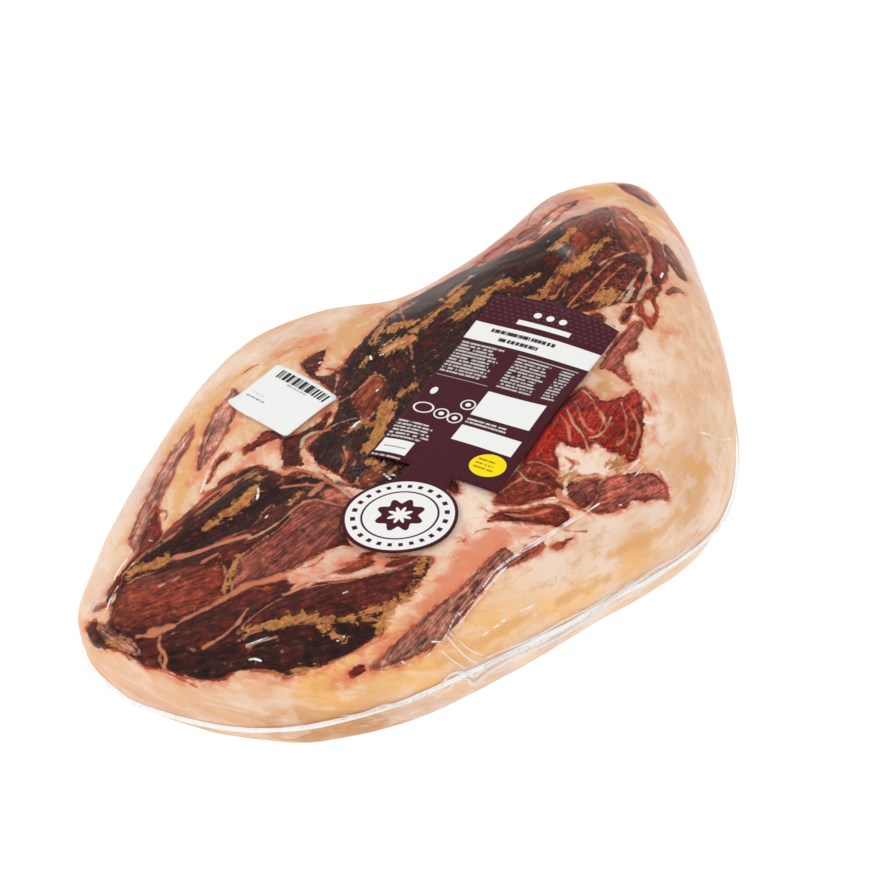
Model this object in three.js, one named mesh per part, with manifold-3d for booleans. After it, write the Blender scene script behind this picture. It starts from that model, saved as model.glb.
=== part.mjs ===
// A boneless cured ham in a clear shrink bag, lying on its skin with the boned face up. A die-cut card and
// a weight sticker lie on that face. Millimetres, +Z up. +X runs from the shank end to the rump end, and
// the origin is under the middle of the ham's box, on the surface that it lies on.
import * as THREE from "three";
import { mergeVertices } from "three/addons/utils/BufferGeometryUtils.js";
import Module from "manifold-3d";

// ---- Driving dimensions ----

// The ham's widest girth, where the boned face meets the skin side: [x, y, height] round the ham, counter-
// clockwise from the near corner of the rump.
const GIRTH = [
  [169, -10, 35], [192, 25, 36], [207, 67, 39], [171, 89, 45], [112, 82, 45], [74, 83, 42], [42, 88, 41],
  [13, 110, 40], [-22, 120, 42], [-61, 113, 43], [-99, 97, 44], [-140, 77, 44], [-176, 55, 47],
  [-205, 31, 49], [-208, 4, 54], [-201, -20, 53], [-188, -43, 49], [-169, -68, 48], [-132, -92, 47],
  [-90, -105, 45], [-52, -112, 43], [-19, -115, 40], [13, -120, 40], [51, -119, 40], [88, -99, 38],
  [126, -63, 37],
];
const BAG_SLACK = 1.5; // how far the bag stands off the girth

// How far down the skin side the bag's welded edge runs, below each of those points: 0 is at the girth,
// 1 at the underside. It sags below the girth towards the shank.
const WELD_TURNS = [
  0.06, 0.08, 0.12, 0.15, 0.18, 0.2, 0.2, 0.2, 0.2, 0.2, 0.22, 0.22, 0.22, 0.26, 0.38, 0.35, 0.32, 0.23,
  0.14, 0.07, 0.06, 0.06, 0.06, 0.06, 0.06, 0.06,
];
const WELD_RIDGE = 1.2; // how far the weld stands proud of the bag
const WELD_HALF_WIDTH = 0.025; // as a share of the skin side
const CORE = new THREE.Vector2(-4, -10); // the point that the rings of the surface close in on

const FACE_HEIGHT = 84; // the boned face above the table, at mid width
const FACE_FALL = 0.07; // how much the face falls towards the far side, per mm of width
const SHOULDER_SHARE = 4.5; // how near to the girth the face stays flat
const SHOULDER_CURVE = 2.1; // how round it turns over the shoulder
const SKIN_ROUNDING = 28; // how far in from the girth the flat underside starts

// Broad swells of the face: middle, half widths and rise.
const SWELLS = [
  { name: "rump", at: [121, 7], half: [90, 75], rise: 14 },
  { name: "topside", at: [-34, -3], half: [100, 70], rise: 3 },
  { name: "shank", at: [-199, 2], half: [70, 90], rise: -12 },
];

// Muscles that stand up and seams between them that sink in: a line from, to, its half width and rise.
const MUSCLES = [
  { name: "crest", from: [2, 44], to: [126, 26], half: 16, rise: 4 },
  { name: "flap_seam", from: [74, 58], to: [170, 51], half: 6, rise: -4 },
  { name: "shin_upper", from: [-190, 10], to: [-104, -18], half: 12, rise: 3.5 },
  { name: "shin_dark", from: [-180, 30], to: [-113, 15], half: 8, rise: 2.5 },
  { name: "shin_lower", from: [-185, -25], to: [-107, -78], half: 13, rise: 3 },
  { name: "shin_seam", from: [-190, -10], to: [-116, -44], half: 5, rise: -2.5 },
  { name: "fat_seam", from: [-71, -78], to: [-126, -91], half: 7, rise: -2.5 },
  { name: "rim_strip", from: [-72, -97], to: [-132, -90], half: 6, rise: 2 },
  { name: "silverside", from: [12, -64], to: [32, -74], half: 20, rise: 3 },
  { name: "wedge", from: [-11, -88], to: [16, -107], half: 8, rise: 2 },
  { name: "cushion_seam", from: [-21, 57], to: [-59, -3], half: 10, rise: -3 },
  { name: "knuckle", from: [104, 12], to: [114, 8], half: 24, rise: 2 },
];

const SECTORS = 120;
const FACE_RINGS = 24;
const RINGS_BELOW_WELD = 4;
const RING_ABOVE_WELD = 0.4; // where the ring between the girth and the weld lies
const RING_CROWDING = 0.8; // below 1 the rings crowd towards the shoulder

// The card: a plate with an arched top edge, and a tag on a neck below it.
const CARD_AT = [2.7, -22.6];
const CARD_WIDTH = 64;
const CARD_LENGTH = 120;
const CARD_ARCH = 4; // rise of the top edge at its middle
const CARD_UP = 15.7; // headings in degrees, a little out of square, as the shrinking film pulls it
const CARD_ACROSS = -70.6;
const NECK_WIDTH = 21;
const TAG_AT = [0.8, -89.8]; // on the card's own axes
const TAG_LENGTH = 50;
const TAG_WIDTH = 44;
const TAG_TURN = 33;

const STICKER_AT = [-63.5, 51.4];
const STICKER_WIDTH = 35.5;
const STICKER_LENGTH = 42.5;
const STICKER_CORNER = 2.5;
const STICKER_UP = 89;
const STICKER_ACROSS = 4.5;
const CURL_REACH = 14; // the far shank-side corner has come unstuck
const CURL_LIFT = 4;

const PAPER_GAP = 0.4; // between the ham and a paper piece, measured straight up
const PAPER_THICKNESS = 0.5;
const ARC_STEPS = 12;

// ---- The ham ----

const girthCurve = new THREE.CatmullRomCurve3(
  GIRTH.map((point) => new THREE.Vector3(...point)),
  true,
  "centripetal",
);
const weldTurnCurve = new THREE.CatmullRomCurve3(
  WELD_TURNS.map((turn) => new THREE.Vector3(turn, 0, 0)),
  true,
  "catmullrom",
);

const { lerp } = THREE.MathUtils;

function bell(distanceShare) {
  return Math.exp(-distanceShare * distanceShare);
}

function distanceToLine(point, from, to) {
  const along = to.clone().sub(from);
  const share = THREE.MathUtils.clamp(point.clone().sub(from).dot(along) / along.lengthSq(), 0, 1);
  return point.distanceTo(from.clone().addScaledVector(along, share));
}

// Height of the boned face at a place seen from above, before it turns over the shoulder.
function faceHeight(place) {
  let height = FACE_HEIGHT - FACE_FALL * (place.y - CORE.y);
  for (const swell of SWELLS) {
    const share = Math.hypot(
      (place.x - swell.at[0]) / swell.half[0],
      (place.y - swell.at[1]) / swell.half[1],
    );
    height += swell.rise * bell(share);
  }
  for (const muscle of MUSCLES) {
    const from = new THREE.Vector2(...muscle.from);
    const to = new THREE.Vector2(...muscle.to);
    height += muscle.rise * bell(distanceToLine(place, from, to) / muscle.half);
  }
  return height;
}

// The bag round the widest girth, at a share of the way round.
function girthPoint(around) {
  const point = girthCurve.getPoint(around);
  const outward = new THREE.Vector2(point.x, point.y).sub(CORE).setLength(BAG_SLACK);
  return new THREE.Vector3(point.x + outward.x, point.y + outward.y, point.z);
}

// A point of the face, between the core (share 0) and the girth (share 1).
function facePoint(around, share) {
  const girth = girthPoint(around);
  const place = CORE.clone().lerp(new THREE.Vector2(girth.x, girth.y), share);
  const shoulder = Math.pow(1 - Math.pow(share, SHOULDER_SHARE), 1 / SHOULDER_CURVE);
  return new THREE.Vector3(place.x, place.y, girth.z + (faceHeight(place) - girth.z) * shoulder);
}

// A point of the skin side, a quarter ellipse from the girth (turn 0) to the flat underside (turn 1).
function skinPoint(around, turn) {
  const girth = girthPoint(around);
  const angle = (turn * Math.PI) / 2;
  const outward = new THREE.Vector2(girth.x, girth.y).sub(CORE);
  outward.setLength(outward.length() - SKIN_ROUNDING * (1 - Math.cos(angle)));
  const height = turn === 1 ? 0 : girth.z * (1 - Math.sin(angle));
  return new THREE.Vector3(CORE.x + outward.x, CORE.y + outward.y, height);
}

function weldTurn(around) {
  return weldTurnCurve.getPoint(around).x;
}

// The top of the weld, pushed out of the skin side.
function weldPoint(around) {
  const point = skinPoint(around, weldTurn(around));
  const outward = new THREE.Vector2(point.x, point.y).sub(CORE).setLength(WELD_RIDGE);
  return new THREE.Vector3(point.x + outward.x, point.y + outward.y, point.z);
}

function hamGeometry() {
  const rings = [];
  for (let ring = 1; ring < FACE_RINGS; ring += 1) {
    const share = Math.pow(Math.sin(((ring / FACE_RINGS) * Math.PI) / 2), RING_CROWDING);
    rings.push((around) => facePoint(around, share));
  }
  rings.push(girthPoint);
  rings.push((around) => skinPoint(around, RING_ABOVE_WELD * weldTurn(around)));
  rings.push((around) => skinPoint(around, weldTurn(around) - WELD_HALF_WIDTH));
  rings.push(weldPoint);
  for (let ring = 0; ring < RINGS_BELOW_WELD; ring += 1) {
    const share = ring / RINGS_BELOW_WELD;
    rings.push((around) => skinPoint(around, lerp(weldTurn(around) + WELD_HALF_WIDTH, 1, share)));
  }
  rings.push((around) => skinPoint(around, 1));

  const corners = [];
  for (const ring of rings) {
    for (let sector = 0; sector < SECTORS; sector += 1) {
      corners.push(ring(sector / SECTORS));
    }
  }
  const top = corners.push(new THREE.Vector3(CORE.x, CORE.y, faceHeight(CORE))) - 1;
  const bottom = corners.push(new THREE.Vector3(CORE.x, CORE.y, 0)) - 1;

  const faces = [];
  for (let sector = 0; sector < SECTORS; sector += 1) {
    const next = (sector + 1) % SECTORS;
    faces.push(top, sector, next);
    for (let ring = 0; ring < rings.length - 1; ring += 1) {
      const inner = ring * SECTORS;
      const outer = inner + SECTORS;
      faces.push(inner + sector, outer + sector, outer + next);
      faces.push(inner + sector, outer + next, inner + next);
    }
    const last = (rings.length - 1) * SECTORS;
    faces.push(last + sector, bottom, last + next);
  }
  const geometry = new THREE.BufferGeometry().setFromPoints(corners);
  geometry.setIndex(faces);
  geometry.computeVertexNormals();
  return geometry;
}

// ---- Solids cut to each other ----

const wasm = await Module();
wasm.setup();

function toSolid(geometry) {
  const bare = geometry.clone();
  bare.deleteAttribute("normal");
  bare.deleteAttribute("uv");
  const merged = mergeVertices(bare, 1e-4);
  return new wasm.Manifold(
    new wasm.Mesh({
      numProp: 3,
      vertProperties: new Float32Array(merged.attributes.position.array),
      triVerts: new Uint32Array(merged.index.array),
    }),
  );
}

function toGeometry(solid) {
  const mesh = solid.getMesh();
  const geometry = new THREE.BufferGeometry();
  geometry.setAttribute("position", new THREE.BufferAttribute(mesh.vertProperties, 3));
  geometry.setIndex(new THREE.BufferAttribute(mesh.triVerts, 1));
  geometry.computeVertexNormals();
  return geometry;
}

// A paper piece that follows the ham's face: the stretch of a thin skin over the face that lies inside
// the outline.
function paperOnFace(hamSolid, outline) {
  const column = new THREE.ExtrudeGeometry(outline, {
    depth: FACE_HEIGHT,
    bevelEnabled: false,
    curveSegments: ARC_STEPS,
  });
  column.translate(0, 0, FACE_HEIGHT / 2);
  const under = hamSolid.translate([0, 0, PAPER_GAP]);
  const over = hamSolid.translate([0, 0, PAPER_GAP + PAPER_THICKNESS]);
  return toGeometry(toSolid(column).intersect(over).subtract(under));
}

// Puts a point drawn on a piece's own axes onto the ham's plan.
function onPlan(point, at, acrossDegrees, upDegrees) {
  const place = new THREE.Vector2(...at);
  for (const [length, degrees] of [[point.x, acrossDegrees], [point.y, upDegrees]]) {
    const angle = THREE.MathUtils.degToRad(degrees);
    place.x += length * Math.cos(angle);
    place.y += length * Math.sin(angle);
  }
  return place;
}

function layOut(points, at, acrossDegrees, upDegrees) {
  return new THREE.Shape(points.map((point) => onPlan(point, at, acrossDegrees, upDegrees)));
}

// ---- The card with its tag ----

function cardOutline() {
  const halfWidth = CARD_WIDTH / 2;
  const halfLength = CARD_LENGTH / 2;
  const points = [];
  for (let step = 0; step <= ARC_STEPS; step += 1) {
    const share = (2 * step) / ARC_STEPS - 1;
    points.push(new THREE.Vector2(-share * halfWidth, halfLength + CARD_ARCH * (1 - share * share)));
  }
  points.push(new THREE.Vector2(-halfWidth, -halfLength));
  points.push(new THREE.Vector2(-NECK_WIDTH / 2, -halfLength));
  points.push(...tagArc());
  points.push(new THREE.Vector2(NECK_WIDTH / 2, -halfLength));
  points.push(new THREE.Vector2(halfWidth, -halfLength));
  return layOut(points, CARD_AT, CARD_ACROSS, CARD_UP);
}

// The tag's rim, from one side of the neck round to the other.
function tagArc() {
  const turn = (TAG_TURN * Math.PI) / 180;
  const rim = [];
  for (let step = 0; step < 4 * ARC_STEPS; step += 1) {
    const angle = Math.PI / 2 - turn + (step / (4 * ARC_STEPS)) * 2 * Math.PI;
    const point = new THREE.Vector2((TAG_LENGTH / 2) * Math.cos(angle), (TAG_WIDTH / 2) * Math.sin(angle));
    point.rotateAround(new THREE.Vector2(), turn).add(new THREE.Vector2(...TAG_AT));
    const underNeck = point.y > TAG_AT[1] && Math.abs(point.x) < NECK_WIDTH / 2;
    if (!underNeck) rim.push(point);
  }
  return rim;
}

// ---- The weight sticker ----

function stickerOutline() {
  const points = [];
  const inX = STICKER_WIDTH / 2 - STICKER_CORNER;
  const inY = STICKER_LENGTH / 2 - STICKER_CORNER;
  for (const [cornerX, cornerY, start] of [[1, 1, 0], [-1, 1, 1], [-1, -1, 2], [1, -1, 3]]) {
    for (let step = 0; step <= 3; step += 1) {
      const angle = ((start + step / 3) * Math.PI) / 2;
      points.push(
        new THREE.Vector2(
          cornerX * inX + STICKER_CORNER * Math.cos(angle),
          cornerY * inY + STICKER_CORNER * Math.sin(angle),
        ),
      );
    }
  }
  return layOut(points, STICKER_AT, STICKER_ACROSS, STICKER_UP);
}

// Lifts the sticker's loose corner off the bag.
function curlCorner(geometry, corner) {
  const position = geometry.attributes.position;
  for (let index = 0; index < position.count; index += 1) {
    const distance = Math.hypot(position.getX(index) - corner.x, position.getY(index) - corner.y);
    const share = Math.max(0, 1 - distance / CURL_REACH);
    position.setZ(index, position.getZ(index) + CURL_LIFT * share * share);
  }
  geometry.computeVertexNormals();
}

// ---- The whole part ----

function piece(name, geometry, colour, roughness) {
  const material = new THREE.MeshStandardMaterial({ color: colour, roughness, metalness: 0 });
  const mesh = new THREE.Mesh(geometry, material);
  mesh.name = name;
  return mesh;
}

const ham = hamGeometry();
const hamSolid = toSolid(ham);
const card = paperOnFace(hamSolid, cardOutline());
const sticker = paperOnFace(hamSolid, stickerOutline());
const looseCorner = new THREE.Vector2(-STICKER_WIDTH / 2, STICKER_LENGTH / 2);
curlCorner(sticker, onPlan(looseCorner, STICKER_AT, STICKER_ACROSS, STICKER_UP));

ham.computeBoundingBox();
const middle = ham.boundingBox.getCenter(new THREE.Vector3());
const part = new THREE.Group();
part.position.set(-middle.x, -middle.y, 0);
part.add(piece("vacuum_packed_ham", ham, 0x8a4a3a, 0.3));
part.add(piece("die_cut_card", card, 0x4a2230, 0.45));
part.add(piece("weight_sticker", sticker, 0xf2f0ec, 0.5));

export default part;
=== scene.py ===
"""Dresses a boneless cured ham: the meat and its fat, the clear bag shrunk onto it, its card and sticker."""

import math
from contextlib import contextmanager

import bmesh
import bpy
import numpy as np
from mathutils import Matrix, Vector, noise
from mathutils.bvhtree import BVHTree


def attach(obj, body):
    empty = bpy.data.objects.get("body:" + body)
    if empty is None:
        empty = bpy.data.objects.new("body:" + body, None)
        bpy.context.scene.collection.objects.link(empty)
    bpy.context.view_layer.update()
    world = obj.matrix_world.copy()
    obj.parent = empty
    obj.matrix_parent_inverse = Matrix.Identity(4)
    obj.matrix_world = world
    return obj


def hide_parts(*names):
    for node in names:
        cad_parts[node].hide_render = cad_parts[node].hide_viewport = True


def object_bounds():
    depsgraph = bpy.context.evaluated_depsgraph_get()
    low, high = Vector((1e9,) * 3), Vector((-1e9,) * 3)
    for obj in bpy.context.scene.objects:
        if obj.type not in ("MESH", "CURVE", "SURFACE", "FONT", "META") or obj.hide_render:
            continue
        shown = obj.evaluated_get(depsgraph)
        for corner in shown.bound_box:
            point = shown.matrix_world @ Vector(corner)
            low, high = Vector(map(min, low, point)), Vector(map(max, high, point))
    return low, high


bl_info = {
    "name": "Cured ham in a shrink bag",
    "version": (1, 0, 0),
    "blender": (4, 5, 0),
    "location": "View3D > Sidebar > Cured ham",
    "description": "Builds the meat, the bag, the card, the sticker and the stage around the packed solids",
    "category": "Object",
}

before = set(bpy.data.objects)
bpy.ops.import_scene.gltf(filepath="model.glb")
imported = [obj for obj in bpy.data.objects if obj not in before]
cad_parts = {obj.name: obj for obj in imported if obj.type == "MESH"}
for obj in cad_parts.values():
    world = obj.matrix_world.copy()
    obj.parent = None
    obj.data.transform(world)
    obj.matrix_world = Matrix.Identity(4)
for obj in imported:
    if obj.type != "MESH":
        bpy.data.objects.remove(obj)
CAD_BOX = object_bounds()

MM = 0.001
HAM = "vacuum_packed_ham"
CARD = "die_cut_card"
STICKER = "weight_sticker"

# The picture and the camera that took it.
PICTURE_SIDE = 896
SENSOR_MM = 36.0
LENS_MM = 101.25
CAMERA_AZIMUTH = -45.0  # degrees
CAMERA_ELEVATION = 43.0
CAMERA_DISTANCE = 1.2
CAMERA_TARGET = Vector((-0.0038, 0.0030, 0.042))
PIXELS_PER_MM = 2.1  # at the middle of the ham
HAM_MIDDLE_PIXEL = (410, 470)

CORE = Vector((-0.00375, -0.00903, 0.040))  # a point inside the ham that sees its whole skin


def linear(red, green, blue):
    """A colour read from the picture, 0 to 255, as the linear colour that Blender works in."""
    shares = (channel / 255 for channel in (red, green, blue))
    return tuple(s / 12.92 if s <= 0.04045 else ((s + 0.055) / 1.055) ** 2.4 for s in shares)


def tone(name, description, red, green, blue):
    """A colour property."""
    return bpy.props.FloatVectorProperty(
        name=name,
        description=description,
        subtype="COLOR",
        size=3,
        min=0.0,
        max=1.0,
        default=linear(red, green, blue),
    )


def length(name, description, default, low, high):
    """A length property, given in mm."""
    return bpy.props.FloatProperty(
        name=name,
        description=description,
        subtype="DISTANCE",
        unit="LENGTH",
        min=low * MM,
        max=high * MM,
        default=default * MM,
    )


# ---- Where the meat shows, as outlines read from the picture: tone, fibre heading, marbling, outline ----

MEAT = {
    "shin_ground": ("dark", ((120, 640), (400, 560)), 0.1, (
        (104, 622), (110, 600), (117, 583), (124, 568), (138, 553), (155, 538), (172, 523), (190, 507),
        (207, 492), (222, 477), (245, 464), (260, 462), (283, 472), (300, 470), (322, 470), (345, 487),
        (357, 498), (348, 515), (347, 535), (356, 548), (385, 553), (412, 553), (432, 555), (430, 568),
        (420, 583), (409, 598), (398, 604), (386, 614), (386, 630), (370, 642), (352, 655), (330, 665),
        (308, 672), (284, 679), (272, 673), (250, 671), (238, 672), (222, 681), (202, 683), (180, 679),
        (160, 671), (143, 671), (134, 662), (122, 654), (110, 650), (100, 652), (90, 650), (83, 637),
        (82, 627), (92, 618))),
    "shin_gap": ("fat", None, 0.0, (
        (262, 580), (282, 571), (300, 561), (318, 551), (335, 545), (350, 543), (372, 550), (392, 556),
        (418, 557), (400, 564), (385, 568), (362, 574), (338, 578), (318, 578), (304, 583), (286, 591),
        (294, 581), (286, 575), (275, 578))),
    "shin_red": ("brown", ((110, 615), (222, 575)), 0.25, (
        (107, 619), (111, 602), (118, 587), (131, 578), (146, 572), (165, 567), (185, 563), (205, 560),
        (221, 562), (225, 573), (223, 590), (228, 594), (215, 603), (200, 610), (184, 616), (166, 624),
        (148, 628), (130, 629), (116, 626))),
    "shin_mid": ("purple", ((230, 585), (345, 505)), 0.35, (
        (233, 590), (229, 578), (233, 560), (246, 549), (262, 537), (278, 525), (292, 510), (303, 499),
        (322, 499), (340, 501), (351, 507), (343, 520), (341, 535), (331, 545), (312, 556), (296, 565),
        (275, 574), (255, 580), (240, 588))),
    "shin_knot": ("rose", ((320, 500), (352, 488)), 0.5, (
        (322, 486), (335, 484), (346, 490), (353, 499), (343, 502), (328, 500), (321, 495))),
    "shin_dark": ("black", ((120, 575), (290, 475)), 0.05, (
        (119, 575), (135, 557), (152, 545), (170, 533), (190, 516), (207, 502), (228, 486), (245, 471),
        (262, 477), (284, 482), (298, 484), (295, 496), (278, 501), (264, 506), (256, 518), (241, 528),
        (222, 537), (200, 546), (178, 553), (160, 558), (142, 563), (128, 572))),
    "shin_brim": ("brown", ((160, 533), (234, 470)), 0.1, (
        (160, 532), (180, 513), (198, 498), (212, 484), (224, 474), (235, 469), (229, 481), (213, 495),
        (197, 509), (178, 525), (163, 536))),
    "low_upper": ("dark", ((260, 620), (428, 566)), 0.12, (
        (284, 593), (300, 586), (330, 580), (360, 576), (385, 570), (412, 562), (431, 560), (428, 572),
        (417, 586), (407, 598), (395, 603), (378, 609), (362, 614), (345, 618), (320, 618), (300, 616),
        (285, 619), (268, 622), (248, 627), (235, 632), (250, 615), (268, 602))),
    "low": ("black", ((170, 668), (384, 626)), 0.08, (
        (205, 652), (235, 641), (250, 631), (268, 628), (290, 623), (320, 622), (350, 621), (368, 619),
        (384, 622), (384, 632), (368, 643), (350, 655), (330, 663), (308, 671), (284, 678), (272, 672),
        (240, 671), (222, 680), (200, 682), (182, 678), (165, 671), (158, 655), (175, 645))),
    "tip_moss": ("mauve", ((96, 624), (135, 652)), 0.0, (
        (95, 622), (105, 624), (115, 633), (129, 639), (138, 654), (126, 652), (112, 645), (100, 638))),
    "gap_red": ("scarlet", ((338, 568), (374, 557)), 0.4, (
        (336, 568), (350, 560), (366, 556), (375, 559), (362, 566), (346, 571))),
    "gap_dark": ("red", ((358, 555), (374, 551)), 0.0, (
        (356, 555), (364, 549), (375, 550), (369, 555), (360, 557))),
    "gap_end": ("red", ((385, 562), (418, 554)), 0.3, (
        (384, 563), (392, 557), (405, 554), (420, 553), (411, 559), (396, 564))),
    "left_streak": ("mauve", ((130, 540), (190, 430)), 0.6, (
        (127, 539), (134, 517), (144, 494), (154, 474), (166, 453), (178, 436), (191, 423), (188, 441),
        (177, 458), (169, 478), (160, 494), (156, 508), (149, 520), (138, 541), (132, 549))),
    "left_streak_low": ("red", ((115, 576), (157, 515)), 0.2, (
        (114, 577), (124, 562), (134, 549), (139, 535), (148, 518), (156, 503), (158, 517), (160, 533),
        (150, 543), (137, 554), (125, 566))),
    "left_fork": ("red", ((102, 602), (120, 579)), 0.1, (
        (102, 601), (106, 589), (112, 577), (118, 571), (119, 580), (112, 592), (107, 602))),
    "tip_fleck": ("scarlet", ((90, 607), (107, 601)), 0.0, (
        (90, 608), (94, 602), (107, 601), (101, 605), (93, 609))),
    "second_streak": ("mauve", ((200, 462), (233, 386)), 0.75, (
        (196, 466), (197, 451), (202, 432), (211, 411), (224, 396), (232, 384), (238, 392), (234, 407),
        (228, 424), (221, 437), (210, 452), (202, 463))),
    "thin_wedge": ("dark", ((201, 492), (228, 450)), 0.1, (
        (201, 490), (207, 473), (214, 459), (221, 451), (228, 449), (226, 455), (218, 461), (208, 477))),
    "sticker_red": ("red", ((246, 448), (286, 430)), 0.3, (
        (247, 446), (255, 436), (264, 427), (276, 429), (288, 437), (274, 437), (262, 441), (252, 447))),
    "red_fleck": ("scarlet", ((242, 450), (250, 441)), 0.0, (
        (241, 448), (245, 441), (249, 441), (247, 447), (243, 451))),
    "under_sticker": ("dark", ((283, 460), (328, 407)), 0.1, (
        (281, 437), (297, 430), (313, 421), (330, 407), (322, 426), (304, 440), (300, 450), (303, 462),
        (292, 463), (282, 464))),
    "cushion": ("black", ((340, 480), (430, 300)), 0.1, (
        (306, 444), (322, 428), (333, 415), (338, 398), (335, 388), (338, 372), (345, 356), (360, 338),
        (372, 325), (385, 311), (405, 299), (430, 288), (500, 260), (500, 336), (438, 364), (417, 402),
        (399, 438), (412, 464), (405, 477), (385, 481), (372, 487), (355, 483), (336, 471), (318, 462),
        (311, 452))),
    "cushion_rust": ("rust", ((356, 415), (384, 372)), 0.2, (
        (351, 394), (362, 382), (376, 371), (386, 380), (381, 396), (373, 410), (363, 420), (358, 406))),
    "low_rust": ("rust", ((360, 478), (384, 462)), 0.2, (
        (356, 478), (364, 468), (378, 462), (386, 468), (380, 477), (366, 483))),
    "mid_rust": ("rust", ((340, 460), (354, 445)), 0.1, (
        (341, 452), (348, 445), (356, 450), (352, 461), (344, 460))),
    "above_sticker": ("dark", ((302, 358), (340, 380)), 0.3, (
        (300, 360), (313, 351), (325, 346), (323, 358), (316, 370), (330, 371), (345, 362), (346, 380),
        (338, 394), (325, 382), (308, 372))),
    "swirl": ("red", ((282, 476), (330, 481)), 0.5, (
        (282, 476), (297, 465), (318, 473), (332, 481), (312, 480), (298, 475))),
    "swirl_dark": ("black", ((285, 480), (330, 480)), 0.0, (
        (291, 480), (300, 473), (314, 474), (329, 481), (312, 482), (300, 479))),
    "crest": ("black", ((430, 330), (610, 215)), 0.1, (
        (400, 302), (425, 287), (448, 274), (475, 260), (500, 252), (525, 242), (545, 229), (565, 215),
        (585, 210), (600, 204), (612, 205), (618, 213), (622, 222), (632, 240), (646, 252), (650, 264),
        (648, 280), (640, 296), (630, 300), (615, 300), (600, 306), (575, 312), (562, 330), (517, 330),
        (494, 330), (471, 350), (445, 362), (420, 390), (410, 340))),
    "crest_brown": ("brown", ((540, 300), (600, 215)), 0.2, (
        (560, 224), (580, 214), (600, 206), (612, 208), (617, 216), (608, 228), (598, 240), (580, 262),
        (565, 280), (552, 296), (545, 285), (560, 262), (570, 245))),
    "crest_red": ("wine", ((565, 300), (640, 245)), 0.45, (
        (566, 302), (564, 288), (574, 272), (590, 258), (602, 240), (606, 226), (616, 215), (621, 223),
        (631, 241), (645, 254), (650, 265), (648, 280), (638, 297), (620, 301), (600, 306), (582, 309))),
    "amber_patch": ("amber", ((620, 205), (652, 245)), 0.3, (
        (611, 204), (622, 204), (634, 210), (644, 219), (652, 232), (654, 246), (647, 253), (638, 252),
        (628, 247), (621, 237), (615, 220))),
    "rump_top": ("purple", ((620, 183), (655, 203)), 0.0, (
        (616, 180), (632, 181), (645, 187), (654, 196), (658, 204), (648, 200), (638, 193), (627, 187))),
    "flap_dark": ("purple", ((512, 238), (540, 224)), 0.1, (
        (513, 237), (519, 229), (528, 225), (537, 222), (539, 227), (532, 233), (524, 237), (517, 241))),
    "flap_end": ("rose", ((482, 260), (512, 236)), 0.6, (
        (478, 263), (483, 252), (492, 245), (503, 237), (512, 234), (516, 239), (508, 246), (498, 253),
        (488, 259))),
    "flap_top": ("mauve", ((540, 222), (572, 200)), 0.7, (
        (538, 222), (544, 212), (555, 204), (568, 198), (580, 197), (574, 204), (563, 210), (552, 219))),
    "flap_fleck": ("scarlet", ((530, 236), (538, 230)), 0.0, (
        (529, 236), (534, 231), (539, 229), (537, 234), (532, 237))),
    "rump_chunk": ("red", ((648, 235), (664, 280)), 0.2, (
        (645, 233), (655, 233), (663, 241), (669, 256), (671, 269), (665, 281), (656, 283), (652, 272),
        (654, 257), (650, 246))),
    "rump_ring": ("scarlet", ((642, 295), (658, 315)), 0.4, (
        (637, 302), (643, 291), (654, 283), (664, 281), (661, 292), (657, 302), (661, 312), (656, 322),
        (651, 327), (645, 317), (638, 311))),
    "rump_ring_fat": ("fat", None, 0.0, (
        (646, 298), (652, 295), (655, 303), (656, 312), (650, 316), (645, 310))),
    "rump_streak": ("purple", ((664, 243), (689, 277)), 0.2, (
        (666, 240), (676, 248), (684, 262), (691, 278), (683, 275), (675, 265), (668, 254))),
    "rump_patch": ("mauve", ((667, 292), (688, 290)), 0.4, (
        (666, 293), (671, 287), (679, 284), (688, 290), (683, 291), (675, 290), (669, 294))),
    "brown_tail": ("rose", ((604, 362), (642, 321)), 0.3, (
        (597, 366), (606, 351), (618, 335), (634, 320), (644, 318), (645, 326), (640, 335), (638, 345),
        (628, 350), (625, 358), (628, 368), (633, 382), (621, 374), (608, 367))),
    "by_card_top": ("dark", ((590, 314), (607, 316)), 0.3, (
        (589, 313), (597, 309), (604, 312), (606, 318), (600, 322), (592, 319))),
    "by_card_top_right": ("dark", ((622, 315), (634, 304)), 0.3, (
        (621, 314), (627, 305), (634, 303), (634, 310), (628, 318), (622, 321))),
    "silverside": ("red_meat", ((545, 455), (600, 385)), 0.5, (
        (560, 402), (574, 389), (585, 384), (598, 395), (612, 397), (625, 392), (638, 386), (643, 396),
        (646, 410), (645, 428), (642, 445), (636, 459), (627, 460), (618, 451), (606, 448), (597, 441),
        (586, 448), (572, 446), (560, 440), (556, 452), (560, 463), (556, 475), (540, 473), (520, 468),
        (530, 440), (545, 420))),
    "wedge_dark": ("purple", ((568, 500), (606, 480)), 0.15, (
        (566, 483), (578, 477), (598, 476), (608, 479), (602, 492), (592, 503), (581, 508), (571, 499))),
    "wedge": ("rose", ((600, 505), (668, 478)), 0.25, (
        (601, 482), (612, 474), (628, 472), (645, 470), (658, 473), (668, 484), (671, 499), (660, 500),
        (640, 501), (626, 507), (613, 513), (598, 513), (591, 509), (598, 497))),
    "below_card": ("red", ((497, 497), (560, 475)), 0.4, (
        (494, 500), (499, 488), (510, 474), (522, 462), (540, 460), (556, 468), (564, 479), (563, 492),
        (549, 496), (531, 500), (512, 503))),
    "below_card_low": ("red", ((488, 515), (570, 516)), 0.35, (
        (487, 518), (500, 508), (520, 507), (540, 503), (556, 502), (568, 507), (571, 520), (563, 526),
        (540, 523), (515, 520), (498, 519))),
    "side_fleck": ("red", ((554, 546), (576, 537)), 0.3, (
        (553, 547), (563, 540), (576, 537), (570, 543), (560, 547))),
    "strip": ("grey_brown", ((420, 640), (490, 560)), 0.35, (
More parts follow.
